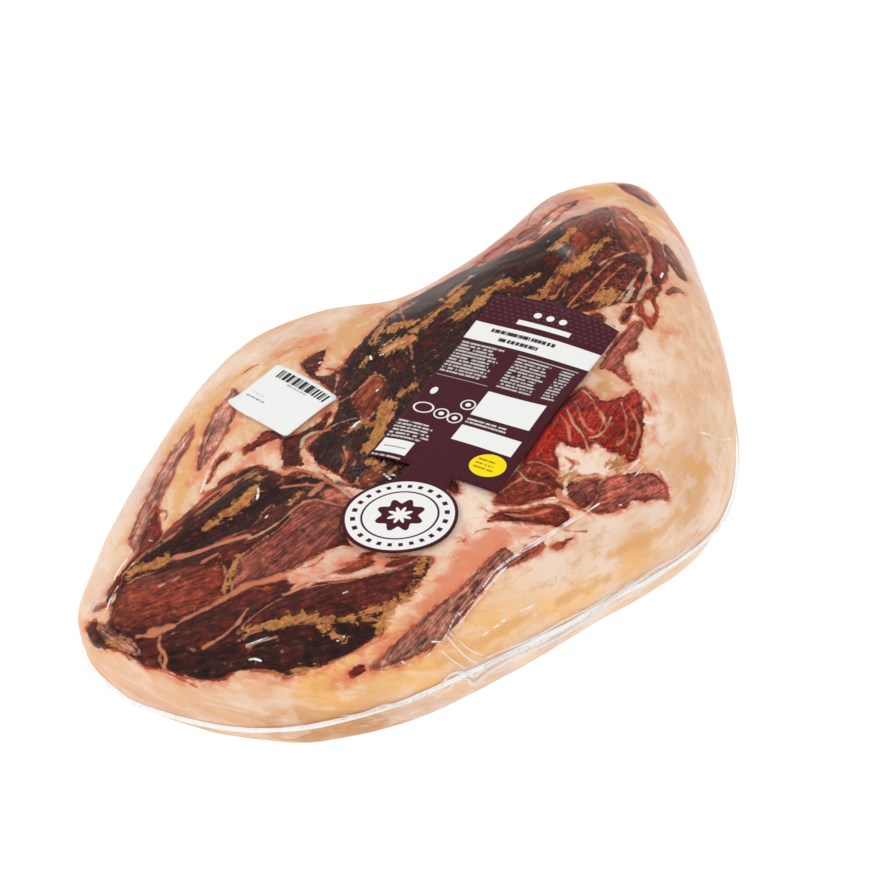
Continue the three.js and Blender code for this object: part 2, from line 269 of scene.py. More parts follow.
        (503, 546), (511, 548), (518, 556), (507, 566), (497, 575), (487, 588), (477, 600), (466, 616),
        (455, 630), (446, 641), (430, 651), (412, 661), (392, 668), (376, 672), (371, 668), (385, 655),
        (400, 640), (415, 625), (430, 612), (445, 600), (460, 588), (475, 572), (488, 560))),
    "strip_bit": ("red", ((350, 675), (364, 667)), 0.0, (
        (350, 677), (352, 670), (359, 665), (366, 669), (362, 677), (355, 679))),
    "strip_tail": ("rose", ((505, 566), (545, 542)), 0.4, (
        (504, 566), (514, 556), (530, 546), (547, 541), (541, 551), (525, 560), (510, 568))),
    "notch_meat": ("dark", ((445, 482), (456, 491)), 0.0, (
        (443, 478), (448, 475), (459, 481), (458, 491), (449, 488))),
    "pale_pad": ("fat", None, 0.0, (
        (592, 373), (602, 366), (615, 369), (625, 379), (634, 385), (622, 393), (605, 395), (595, 386))),
    "lower_pad": ("fat", None, 0.0, (
        (567, 450), (577, 446), (590, 448), (603, 445), (608, 450), (602, 460), (597, 470), (582, 471),
        (570, 467), (571, 458))),
}

# Streaks read from the picture, by kind: half width in mm, then the line.
STREAKS = {
    "ochre": (
        (4.2, ((605, 297), (609, 293), (612, 292))),
        (3.4, ((616, 464), (619, 462), (621, 461))),
        (2.6, ((563, 476), (569, 474), (575, 475))),
        (2.1, ((455, 316), (463, 309), (473, 305), (481, 298), (487, 289))),
        (2.2, ((489, 288), (497, 282), (510, 279))),
        (1.2, ((519, 281), (528, 277), (537, 272))),
        (1.9, ((528, 296), (541, 296), (545, 289))),
        (1.0, ((543, 288), (551, 281), (560, 275))),
        (3.2, ((566, 267), (576, 263), (585, 258))),
        (1.4, ((576, 256), (590, 250), (601, 240), (612, 236))),
        (2.0, ((554, 244), (563, 238), (572, 227))),
        (3.0, ((451, 298), (457, 291), (463, 286))),
        (1.4, ((371, 341), (377, 330), (386, 316), (400, 307), (412, 300))),
        (3.0, ((388, 327), (398, 322), (412, 319))),
        (1.5, ((412, 330), (428, 316), (440, 306), (452, 301))),
        (3.4, ((386, 347), (396, 342), (410, 336))),
        (1.2, ((440, 297), (450, 290), (470, 274))),
        (1.1, ((352, 428), (358, 422), (365, 419))),
        (3.0, ((369, 448), (377, 434), (383, 420))),
        (4.0, ((380, 420), (385, 412), (388, 402))),
        (1.6, ((362, 418), (373, 422), (380, 414))),
        (2.0, ((368, 458), (377, 460), (376, 466))),
        (1.2, ((390, 470), (397, 462), (399, 456))),
        (1.3, ((400, 392), (408, 386), (416, 380))),
        (1.0, ((360, 365), (365, 358), (371, 356))),
        (1.4, ((205, 526), (216, 519), (227, 511))),
        (2.8, ((226, 512), (238, 503), (249, 493), (254, 486))),
        (1.2, ((247, 474), (254, 470), (259, 476))),
        (2.2, ((128, 571), (142, 566), (154, 562), (166, 557))),
        (1.0, ((287, 502), (294, 496), (299, 490))),
        (0.9, ((223, 588), (229, 578), (233, 566), (236, 556))),
        (1.1, ((246, 629), (256, 626), (266, 624))),
        (1.9, ((266, 624), (280, 621), (296, 617), (312, 617))),
        (1.1, ((312, 619), (330, 619), (348, 618), (364, 614))),
        (1.6, ((364, 614), (380, 608), (394, 602))),
        (2.4, ((380, 628), (384, 620), (390, 611))),
        (1.0, ((406, 598), (412, 590), (417, 584))),
        (0.8, ((276, 676), (290, 673), (305, 671), (316, 668))),
        (1.3, ((418, 572), (422, 563), (424, 557))),
        (1.4, ((104, 640), (112, 645), (122, 643))),
        (0.8, ((318, 625), (330, 632), (345, 640))),
    ),
    "cream": (
        (0.6, ((330, 664), (350, 655), (366, 647), (381, 640), (395, 633), (407, 630))),
        (0.5, ((240, 540), (256, 533), (270, 525), (283, 515), (294, 505), (301, 500))),
        (0.7, ((300, 444), (303, 436), (313, 430), (330, 427))),
        (1.1, ((302, 447), (307, 458), (314, 467))),
        (1.0, ((314, 467), (324, 475), (336, 482), (346, 490), (356, 497))),
        (0.8, ((200, 560), (208, 556), (216, 552))),
        (0.4, ((158, 584), (168, 580), (178, 575))),
        (1.6, ((310, 492), (316, 487), (320, 482))),
        (0.5, ((590, 450), (586, 440), (582, 432), (573, 420), (566, 404))),
        (0.6, ((590, 436), (598, 434), (606, 427), (612, 415))),
        (0.45, ((622, 400), (626, 412), (628, 424), (626, 436), (618, 444))),
        (0.4, ((583, 388), (590, 394), (595, 402), (603, 412), (606, 424))),
        (0.5, ((560, 478), (566, 487), (571, 498), (578, 506))),
        (0.4, ((512, 462), (520, 470), (528, 478), (543, 482))),
        (0.6, ((546, 498), (556, 497), (564, 496))),
        (1.0, ((622, 214), (636, 224), (648, 238), (653, 252), (650, 268))),
        (1.0, ((640, 296), (646, 284), (650, 272))),
        (0.8, ((606, 306), (616, 303), (628, 296), (634, 286))),
        (2.2, ((608, 326), (613, 316), (618, 307))),
        (0.5, ((571, 305), (584, 300), (598, 296))),
        (0.4, ((600, 262), (616, 254), (636, 248))),
        (0.4, ((620, 296), (632, 282), (642, 266))),
        (0.5, ((338, 372), (336, 382), (334, 392))),
        (0.35, ((322, 428), (340, 420), (356, 415))),
        (0.35, ((246, 646), (262, 640), (276, 636))),
        (1.5, ((384, 349), (394, 343), (404, 338), (412, 334))),
        (0.4, ((305, 583), (318, 574), (332, 568), (345, 563))),
        (0.5, ((466, 470), (474, 480), (480, 484))),
    ),
    "coral_line": (
        (0.8, ((136, 635), (150, 634), (165, 627), (180, 620))),
        (1.3, ((148, 630), (160, 628), (172, 624))),
        (0.7, ((180, 619), (196, 611), (214, 602), (232, 592))),
        (1.2, ((232, 592), (248, 583), (266, 578), (282, 573))),
        (0.6, ((203, 647), (214, 640), (226, 632), (236, 622), (246, 607))),
        (0.5, ((162, 668), (164, 656), (158, 645), (160, 634))),
        (1.5, ((176, 555), (194, 550), (214, 543), (234, 537), (246, 534))),
        (0.6, ((282, 592), (300, 584), (320, 578), (342, 575), (362, 573), (384, 566))),
        (0.5, ((197, 503), (214, 490), (234, 478), (252, 468))),
        (1.0, ((283, 470), (300, 466), (320, 474))),
        (0.8, ((283, 484), (300, 482), (316, 482))),
        (0.6, ((302, 499), (318, 497), (336, 501), (350, 503))),
        (0.5, ((330, 400), (345, 396), (360, 384), (370, 376))),
        (0.5, ((340, 470), (346, 455), (343, 444))),
        (0.4, ((566, 306), (582, 288), (600, 270), (620, 252))),
        (0.4, ((590, 300), (606, 280), (626, 262))),
        (0.5, ((500, 490), (512, 482), (524, 474), (530, 466))),
        (0.4, ((506, 512), (522, 514), (538, 512), (552, 508))),
        (0.5, ((576, 400), (580, 412), (586, 424), (594, 430))),
        (0.5, ((630, 404), (636, 416), (640, 430), (634, 448))),
        (0.4, ((560, 412), (568, 424), (570, 438))),
        (0.6, ((596, 405), (604, 416), (600, 430))),
        (1.0, ((566, 456), (572, 460), (578, 462))),
        (1.6, ((560, 490), (566, 500), (574, 505))),
    ),
    "rust_line": (
        (0.5, ((138, 669), (158, 673), (176, 680), (196, 689))),
        (0.7, ((108, 651), (120, 652), (127, 661))),
        (0.5, ((222, 537), (232, 532), (244, 529), (254, 529))),
        (0.9, ((612, 322), (615, 325))),
        (0.8, ((152, 508), (166, 510), (163, 518))),
        (0.5, ((198, 500), (214, 485), (226, 475))),
        (0.5, ((184, 514), (170, 525), (160, 533))),
        (0.5, ((340, 562), (356, 556), (362, 550))),
        (0.4, ((300, 567), (316, 562), (322, 556))),
        (0.4, ((254, 585), (262, 586), (276, 584))),
        (0.5, ((282, 462), (300, 466), (316, 470), (332, 478))),
        (0.5, ((326, 366), (336, 366), (342, 360))),
        (0.4, ((322, 327), (326, 329))),
        (0.7, ((535, 231), (531, 235))),
        (0.5, ((500, 248), (504, 241), (512, 238))),
        (0.6, ((632, 219), (640, 222), (646, 228))),
        (0.6, ((645, 234), (654, 235), (662, 238))),
        (0.5, ((654, 235), (664, 250), (668, 262))),
        (0.5, ((640, 306), (652, 318), (653, 326))),
        (0.5, ((658, 300), (660, 312), (655, 318))),
        (0.5, ((566, 456), (574, 462), (570, 468))),
        (0.5, ((577, 474), (590, 473), (598, 472))),
        (0.5, ((560, 500), (578, 506), (590, 512))),
        (0.4, ((600, 513), (614, 512), (622, 506))),
        (0.5, ((645, 394), (650, 402), (652, 408))),
        (0.4, ((470, 535), (478, 530), (490, 527))),
        (0.4, ((457, 541), (466, 538))),
        (0.4, ((460, 536), (464, 540))),
        (0.3, ((455, 555), (459, 562))),
        (0.3, ((520, 541), (526, 544), (531, 541))),
        (0.4, ((566, 530), (578, 531), (588, 531))),
        (0.4, ((556, 545), (566, 541), (575, 539))),
        (0.35, ((530, 538), (536, 535), (542, 536))),
        (0.4, ((482, 506), (487, 509))),
        (0.4, ((374, 672), (386, 672), (400, 668))),
        (0.5, ((112, 592), (106, 601), (100, 605))),
        (0.4, ((660, 470), (668, 482), (672, 496))),
        (0.4, ((558, 582), (558, 576))),
        (0.5, ((527, 221), (531, 212), (540, 202), (552, 193), (566, 186))),
        (0.6, ((505, 243), (520, 238), (534, 234), (545, 226))),
        (0.5, ((292, 346), (296, 344), (300, 345))),
        (0.5, ((240, 372), (250, 365), (258, 362))),
    ),
    "black": (
        (0.8, ((478, 258), (520, 248), (550, 236), (562, 226))),
        (1.6, ((500, 262), (520, 256), (545, 246))),
        (1.2, ((560, 290), (580, 274), (590, 268))),
        (0.8, ((318, 425), (332, 440), (346, 452), (350, 470))),
        (1.0, ((355, 432), (362, 445), (366, 455))),
        (1.2, ((335, 478), (352, 483), (372, 484))),
        (1.0, ((384, 464), (392, 462), (398, 470))),
        (0.7, ((376, 336), (384, 334), (396, 326))),
        (1.0, ((366, 372), (378, 364), (388, 360))),
        (0.8, ((120, 577), (142, 560), (162, 544))),
        (0.6, ((125, 575), (140, 571), (160, 570))),
        (0.5, ((127, 634), (138, 640), (134, 652), (142, 660))),
        (0.6, ((160, 640), (180, 630), (204, 616), (228, 604))),
        (0.8, ((222, 640), (240, 622), (262, 604), (282, 592))),
        (0.5, ((283, 590), (300, 583), (322, 574), (334, 568))),
        (0.7, ((318, 602), (340, 604), (352, 608))),
        (0.7, ((262, 630), (282, 626), (300, 622), (316, 623))),
        (0.6, ((330, 648), (345, 640), (364, 640))),
        (0.5, ((570, 478), (584, 490), (588, 500))),
        (0.5, ((500, 512), (520, 518), (545, 520))),
        (0.6, ((524, 470), (540, 476), (556, 476))),
        (0.5, ((612, 398), (606, 412), (596, 424))),
        (0.5, ((572, 394), (578, 404), (576, 418))),
        (0.6, ((474, 592), (484, 578), (494, 566))),
        (0.6, ((452, 612), (464, 598), (478, 580))),
        (0.5, ((404, 656), (420, 646), (438, 632))),
        (0.6, ((604, 300), (600, 288), (604, 284))),
        (0.5, ((200, 450), (206, 438), (212, 425))),
        (0.5, ((146, 510), (152, 498), (160, 482))),
        (0.6, ((640, 262), (646, 276), (642, 290))),
    ),
    # Mould bloom; the wide lines over the crest also stand for a painted reflection of the film.
    "mould_and_reflection": (
        (5.0, ((440, 288), (470, 270), (500, 262), (540, 250))),
        (3.5, ((452, 310), (480, 284), (500, 275))),
        (3.0, ((380, 340), (400, 344), (420, 325))),
        (2.5, ((384, 470), (402, 462))),
        (3.0, ((336, 455), (352, 440))),
        (1.6, ((624, 193), (631, 197))),
        (0.8, ((606, 188), (612, 190), (618, 193))),
        (0.8, ((629, 208), (633, 210))),
        (0.9, ((643, 222), (648, 226))),
        (0.7, ((648, 276), (649, 283))),
    ),
    "coral": (
        (2.2, ((268, 360), (284, 351), (297, 343), (308, 337))),
        (2.0, ((232, 400), (240, 410), (236, 424))),
        (3.0, ((560, 196), (575, 192), (590, 196))),
        (3.0, ((664, 215), (678, 232), (690, 252))),
        (8.0, ((498, 537), (468, 560), (450, 590), (425, 625), (395, 655))),
        (3.5, ((292, 577), (320, 567), (350, 558), (392, 560))),
        (3.5, ((514, 528), (530, 530), (548, 530))),
        (4.0, ((392, 655), (362, 672), (340, 682))),
        (0.6, ((150, 676), (176, 684), (206, 687), (240, 677), (280, 683), (320, 673), (352, 660))),
        (3.0, ((240, 446), (262, 446), (280, 440))),
        (3.0, ((238, 466), (252, 456), (262, 452))),
        (3.0, ((192, 478), (202, 470), (212, 455))),
        (3.0, ((310, 410), (320, 412), (326, 404))),
        (2.5, ((362, 308), (374, 305), (384, 307))),
        (1.5, ((303, 345), (312, 338), (322, 334))),
        (4.0, ((478, 256), (500, 248), (514, 240))),
        (2.0, ((664, 332), (676, 330), (688, 334))),
        (2.0, ((655, 395), (652, 408))),
        (1.5, ((655, 425), (657, 440))),
        (2.5, ((464, 524), (467, 540), (462, 556))),
    ),
    "amber_fat": (
        (2.6, ((248, 366), (232, 378), (217, 394), (206, 412), (198, 430), (191, 450), (185, 470))),
        (2.2, ((185, 470), (181, 488), (176, 505), (168, 522))),
        (2.0, ((262, 372), (278, 362), (292, 356), (304, 352))),
        (1.8, ((176, 498), (178, 484), (182, 472))),
        (2.0, ((560, 604), (580, 594), (610, 578))),
        (2.2, ((612, 556), (636, 546), (664, 530), (682, 510))),
        (2.6, ((470, 652), (500, 634), (530, 618))),
        (2.2, ((316, 688), (328, 686), (333, 690))),
        (2.0, ((440, 664), (455, 660), (470, 666))),
        (1.6, ((641, 458), (646, 460), (650, 458))),
        (3.0, ((690, 460), (700, 470), (708, 465))),
        (3.2, ((598, 190), (612, 186), (626, 196))),
        (3.4, ((630, 196), (642, 206), (652, 216))),
        (1.6, ((84, 600), (92, 570), (88, 590))),
        (1.2, ((115, 545), (130, 530))),
    ),
}

# Fat tones at places in the picture, blended between them; the shell spots also hold painted sheen of the
# film.
FAT_SPOTS = (
    ("peach", (110, 665)), ("peach", (170, 692)), ("peach", (250, 692)), ("straw", (330, 690)),
    ("straw", (420, 672)), ("straw", (500, 640)), ("straw", (560, 608)), ("straw", (591, 592)),
    ("straw", (636, 562)), ("ivory", (600, 575)), ("ivory", (560, 575)), ("ivory", (560, 550)),
    ("ivory", (610, 520)), ("ivory", (660, 520)),
    ("peach", (150, 703)), ("tan", (180, 723)), ("peach", (238, 735)), ("bark", (300, 735)),
    ("bark", (362, 727)), ("shell_and_sheen", (425, 713)), ("shell_and_sheen", (500, 674)), ("shell_and_sheen", (560, 645)),
    ("ivory", (520, 655)), ("ivory", (600, 612)), ("cream", (640, 595)), ("tan", (640, 545)),
    ("tan", (690, 500)), ("tan", (700, 470)), ("cream", (722, 430)), ("peach", (690, 400)),
    ("ivory", (665, 420)), ("cream", (580, 538)),
    ("ivory", (650, 360)), ("peach", (680, 340)), ("peach", (705, 320)), ("shell_and_sheen", (690, 260)),
    ("amber_fat", (620, 190)), ("amber_fat", (600, 188)), ("lilac", (560, 200)), ("lilac", (500, 243)),
    ("bark", (641, 201)), ("amber_fat", (648, 216)), ("peach", (665, 225)), ("tan", (300, 325)),
    ("tan", (350, 320)),
    ("cream", (250, 372)), ("amber_fat", (205, 425)), ("amber_fat", (182, 475)), ("cream", (172, 500)),
    ("shell_and_sheen", (150, 480)), ("cream", (120, 540)), ("peach", (98, 600)), ("ivory", (230, 480)),
    ("cream", (240, 460)), ("shell_and_sheen", (350, 575)), ("peach", (624, 380)), ("bark", (599, 384)),
    ("ivory", (480, 506)), ("ivory", (714, 516)), ("ivory", (580, 459)),
)

# The film, also as half widths in mm and lines: folds that stand up from it, fields of fine crinkles,
# fields of white haze that are partly milky film and partly painted sheen, and bright glints painted white.
FOLDS = (
    (1.1, ((440, 688), (446, 679), (453, 674), (463, 673), (474, 676), (484, 668), (500, 659), (520, 650),
           (540, 642), (560, 631), (580, 620), (600, 608), (616, 597), (632, 586), (650, 575))),
    (0.8, ((446, 692), (455, 683), (466, 679), (474, 684), (490, 672), (515, 658), (545, 645), (575, 628),
           (600, 613), (640, 589), (675, 566))),
    (0.6, ((486, 658), (505, 650), (525, 642), (545, 632), (562, 622), (590, 608), (610, 596))),
    (0.6, ((604, 603), (618, 593), (636, 582), (656, 569), (676, 558), (690, 547))),
    (0.4, ((447, 636), (455, 646), (466, 657), (478, 664))),
    (0.3, ((458, 640), (470, 650), (484, 656))),
    (0.3, ((440, 650), (452, 660), (464, 668))),
    (0.7, ((330, 722), (350, 718), (372, 712), (395, 706), (415, 700), (436, 692), (444, 684))),
    (0.5, ((340, 716), (360, 714), (385, 705), (405, 704), (425, 694), (440, 697))),
)
CRINKLES = (
    (5.0, ((500, 565), (470, 605), (440, 642), (400, 664))),
    (7.0, ((430, 690), (500, 655), (560, 625), (640, 575))),
    (4.0, ((700, 395), (712, 425), (725, 450))),
    (3.0, ((520, 585), (500, 600), (470, 640))),
    (3.0, ((355, 470), (372, 476), (395, 470))),
)
# Along the left and right edges and in the small patch on the crest these are painted sheen and reflection
# of the film; elsewhere milky film.
HAZE_AND_SHEEN = (
    (5.0, ((470, 672), (520, 652), (580, 620), (640, 585), (690, 550))),
    (9.0, ((88, 600), (122, 510), (175, 420), (255, 350), (345, 312))),
    (7.0, ((740, 430), (715, 320), (690, 255))),
    (5.0, ((110, 690), (170, 715), (260, 735))),
    (1.5, ((560, 246), (570, 252))),
)
GLINTS = (
    (0.45, ((249, 660), (254, 659), (261, 661))),
    (0.35, ((114, 579), (117, 572), (122, 565), (127, 559))),
    (0.4, ((130, 566), (135, 562))),
    (0.3, ((118, 586), (112, 596), (107, 608), (103, 616))),
    (0.35, ((342, 594), (347, 592))),
    (0.4, ((343, 637), (344, 637))),
    (0.35, ((337, 641), (338, 641))),
    (0.4, ((402, 662), (405, 664))),
    (0.4, ((409, 665), (412, 666))),
    (0.3, ((421, 660), (428, 656), (436, 650))),
    (0.35, ((432, 642), (441, 642))),
    (0.3, ((443, 641), (448, 633), (452, 624), (456, 617))),
    (0.35, ((507, 567), (501, 573), (494, 581), (486, 590))),
    (0.3, ((486, 592), (478, 601), (470, 611), (463, 620), (457, 629))),
    (0.3, ((500, 567), (492, 575), (484, 586), (476, 595))),
    (0.25, ((474, 600), (466, 608), (460, 616))),
    (0.3, ((449, 632), (454, 620), (460, 612))),
    (0.3, ((482, 636), (488, 632))),
    (0.3, ((493, 628), (499, 625))),
    (0.3, ((502, 622), (505, 620))),
    (0.3, ((519, 612), (523, 610))),
    (0.3, ((526, 609), (532, 606))),
    (0.35, ((450, 633), (453, 636))),
    (0.35, ((455, 647), (458, 649))),
    (0.35, ((657, 469), (664, 474), (669, 484), (671, 496))),
    (0.25, ((580, 470), (592, 470), (602, 473), (611, 476))),
    (0.2, ((640, 459), (632, 467), (624, 475))),
    (0.2, ((650, 459), (642, 468), (634, 477))),
    (0.35, ((619, 505), (622, 505))),
    (0.3, ((623, 511), (625, 511))),
    (0.35, ((553, 498), (555, 498))),
    (0.35, ((256, 486), (258, 492), (257, 499))),
    (0.4, ((250, 474), (255, 473))),
    (0.3, ((265, 518), (268, 515))),
    (0.35, ((183, 446), (184, 443))),
    (0.4, ((149, 540), (153, 541))),
    (0.3, ((162, 516), (160, 514))),
    (0.3, ((201, 492), (205, 478), (211, 464), (218, 454), (225, 449))),
    (0.7, ((370, 356), (371, 359))),
    (0.35, ((374, 372), (375, 372))),
    (0.35, ((316, 374), (317, 375))),
    (0.35, ((319, 363), (321, 362))),
    (0.3, ((344, 475), (345, 475))),
    (0.35, ((356, 476), (358, 477))),
    (0.35, ((367, 478), (369, 479))),
    (0.4, ((376, 391), (381, 386))),
    (0.4, ((384, 474), (390, 479))),
    (0.35, ((392, 474), (398, 477))),
    (0.35, ((352, 428), (357, 423), (362, 421))),
    (0.35, ((383, 345), (390, 341), (396, 334))),
    (0.35, ((380, 355), (383, 354))),
    (0.35, ((470, 276), (473, 276))),
    (0.9, ((547, 224), (551, 221))),
    (0.3, ((548, 240), (549, 241))),
    (0.5, ((626, 296), (630, 291))),
    (0.5, ((661, 277), (663, 273))),
    (0.25, ((700, 432), (710, 435), (722, 440), (732, 438))),
    (0.2, ((704, 436), (711, 447), (716, 458))),
    (0.2, ((690, 437), (693, 446), (694, 454))),
    (0.25, ((594, 380), (597, 381))),
    (0.3, ((645, 422), (652, 423))),
    (0.2, ((495, 572), (515, 557), (540, 542), (570, 523), (600, 503))),
    (0.2, ((500, 566), (522, 550), (548, 534), (575, 517))),
    (0.2, ((246, 645), (258, 641), (268, 637))),
    (0.25, ((618, 592), (624, 588), (634, 581))),
    (0.2, ((88, 660), (98, 674), (112, 688), (128, 697))),
)


# ---- Shaders written as sums ----


class Value:
    """A shader socket that arithmetic can be written with."""

    def __init__(self, shade, socket):
        self.shade = shade
        self.socket = socket

    @property
    def is_vector(self):
        return self.socket.type in {"VECTOR", "RGBA"}

    def _join(self, operation, *terms):
        kind = "ShaderNodeMath"
        if any(isinstance(term, tuple) or (isinstance(term, Value) and term.is_vector) for term in terms):
            terms = [(term,) * 3 if isinstance(term, (int, float)) else term for term in terms]
            kind = "ShaderNodeVectorMath"
        return self.shade.node(kind, {"operation": operation}, dict(enumerate(terms)))

    def __add__(self, other):
        return self._join("ADD", self, other)

    __radd__ = __add__

    def __sub__(self, other):
        return self._join("SUBTRACT", self, other)

    def __rsub__(self, other):
        return self._join("SUBTRACT", other, self)

    def __mul__(self, other):
        return self._join("MULTIPLY", self, other)

    __rmul__ = __mul__

    def __truediv__(self, other):
        return self._join("DIVIDE", self, other)

    def __rtruediv__(self, other):
        return self._join("DIVIDE", other, self)

    def __pow__(self, other):
        return self._join("POWER", self, other)

    def __abs__(self):
        return self.shade.math("ABSOLUTE", self)


class Shade:
    """One material's nodes."""

    def __init__(self, name):
        self.material = bpy.data.materials.new(name)
        self.material.use_nodes = True
        self.tree = self.material.node_tree
        self.tree.nodes.clear()

    def node(self, kind, settings=None, sockets=None, out=0):
        """Adds a node, sets it, feeds its sockets with numbers, tuples or values, and returns an output."""
        made = self.tree.nodes.new(kind)
        for key, setting in (settings or {}).items():
            setattr(made, key, setting)
        for key, fed in (sockets or {}).items():
            if isinstance(fed, Value):
                self.tree.links.new(fed.socket, made.inputs[key])
            elif made.inputs[key].type == "RGBA" and len(fed) == 3:
                made.inputs[key].default_value = (*fed, 1.0)
            else:
                made.inputs[key].default_value = fed
        return Value(self, made.outputs[out])

    def object_mm(self):
        """The place on the piece, in mm."""
        return self.node("ShaderNodeTexCoord", out="Object") * 1000.0

    def attribute(self, name, out="Fac"):
        """What a mesh keeps for each vertex under that name."""
        return self.node("ShaderNodeAttribute", {"attribute_name": name}, out=out)

    def vector(self, x, y, z=0.0):
        return self.node("ShaderNodeCombineXYZ", None, {0: x, 1: y, 2: z})

    def split(self, vector):
        parts = self.node("ShaderNodeSeparateXYZ", None, {0: vector})
        outputs = parts.socket.node.outputs
        return tuple(Value(self, outputs[axis]) for axis in range(3))

    def math(self, operation, *terms):
        """A Math node for what Python has no operator for."""
        return self.node("ShaderNodeMath", {"operation": operation}, dict(enumerate(terms)))

    def maximum(self, first, *others):
        """The largest of the values."""
        for other in others:
            first = self.math("MAXIMUM", first, other)
        return first

    def noise(self, place, scale, detail=2.0, roughness=0.5, distortion=0.0):
        return self.node("ShaderNodeTexNoise", None, {
            "Vector": place, "Scale": scale, "Detail": detail, "Roughness": roughness,
            "Distortion": distortion,
        })

    def ramp(self, value, low, high):
        """A soft step from 0 to 1 as the value goes from low to high."""
        sockets = {"Value": value, "From Min": low, "From Max": high}
        return self.node("ShaderNodeMapRange", {"interpolation_type": "SMOOTHSTEP"}, sockets)

    def mix(self, first, second, share):
        """The first colour, with a share of the second one over it."""
        settings = {"data_type": "RGBA", "clamp_factor": True}
        return self.node("ShaderNodeMix", settings, {0: share, 6: first, 7: second}, out=2)

    def bump(self, height, strength, distance):
        sockets = {"Height": height, "Strength": strength, "Distance": distance}
        return self.node("ShaderNodeBump", None, sockets)

    def mixed_shader(self, first, second, share):
        return self.node("ShaderNodeMixShader", None, {0: share, 1: first, 2: second})

    def surface(self, shader):
        """The finished material."""
        output = self.tree.nodes.new("ShaderNodeOutputMaterial")
        self.tree.links.new(shader.socket, output.inputs["Surface"])
        return self.material


# ---- The skin of the ham, laid out flat ----


def camera_place():
    """Where the camera stands, and the way it looks."""
    azimuth, elevation = math.radians(CAMERA_AZIMUTH), math.radians(CAMERA_ELEVATION)
    look = Vector((
        -math.sin(azimuth) * math.cos(elevation),
        math.cos(azimuth) * math.cos(elevation),
        -math.sin(elevation),
    ))
    return CAMERA_TARGET - look * CAMERA_DISTANCE, look


def surface_tree(mesh):
    """A search tree of a mesh's faces."""
    return BVHTree.FromPolygons(
        [vertex.co.copy() for vertex in mesh.vertices],
        [tuple(polygon.vertices) for polygon in mesh.polygons],
    )


SLICE_GAP = 0.005  # radians, at least, between two upright slices of the solid's vertices
FEWEST_PLACES = 8  # that make a slice


def weld_line(mesh):
    """The line of the weld round the bag: the sharpest corner of each upright slice of the solid."""
    offsets = [vertex.co - CORE for vertex in mesh.vertices]
    places = sorted(
        (math.atan2(offset.y, offset.x), math.hypot(offset.x, offset.y), offset.z)
        for offset in offsets
        if math.hypot(offset.x, offset.y) > 1 * MM
    )
    slices = [[places[0]]]
    for place in places[1:]:
        if place[0] - slices[-1][-1][0] > SLICE_GAP:
            slices.append([])
        slices[-1].append(place)
    line = []
    for places in slices:
        heading = places[0][0]
        profile = sorted({(round(radius, 5), round(height, 5)) for _, radius, height in places},
                         key=lambda place: math.atan2(place[1], place[0]))
        if len(profile) < FEWEST_PLACES:
            continue
        sharpest = -1.0
        for before, middle, after in zip(profile, profile[1:], profile[2:]):
            into = (middle[0] - before[0], middle[1] - before[1])
            out = (after[0] - middle[0], after[1] - middle[1])
            bend = (into[0] * out[1] - into[1] * out[0]) / (math.hypot(*into) * math.hypot(*out))
            if bend > sharpest:
                sharpest = bend
                radius, height = middle
        line.append((
            CORE.x + radius * math.cos(heading), CORE.y + radius * math.sin(heading), CORE.z + height
        ))
    return np.array(line)


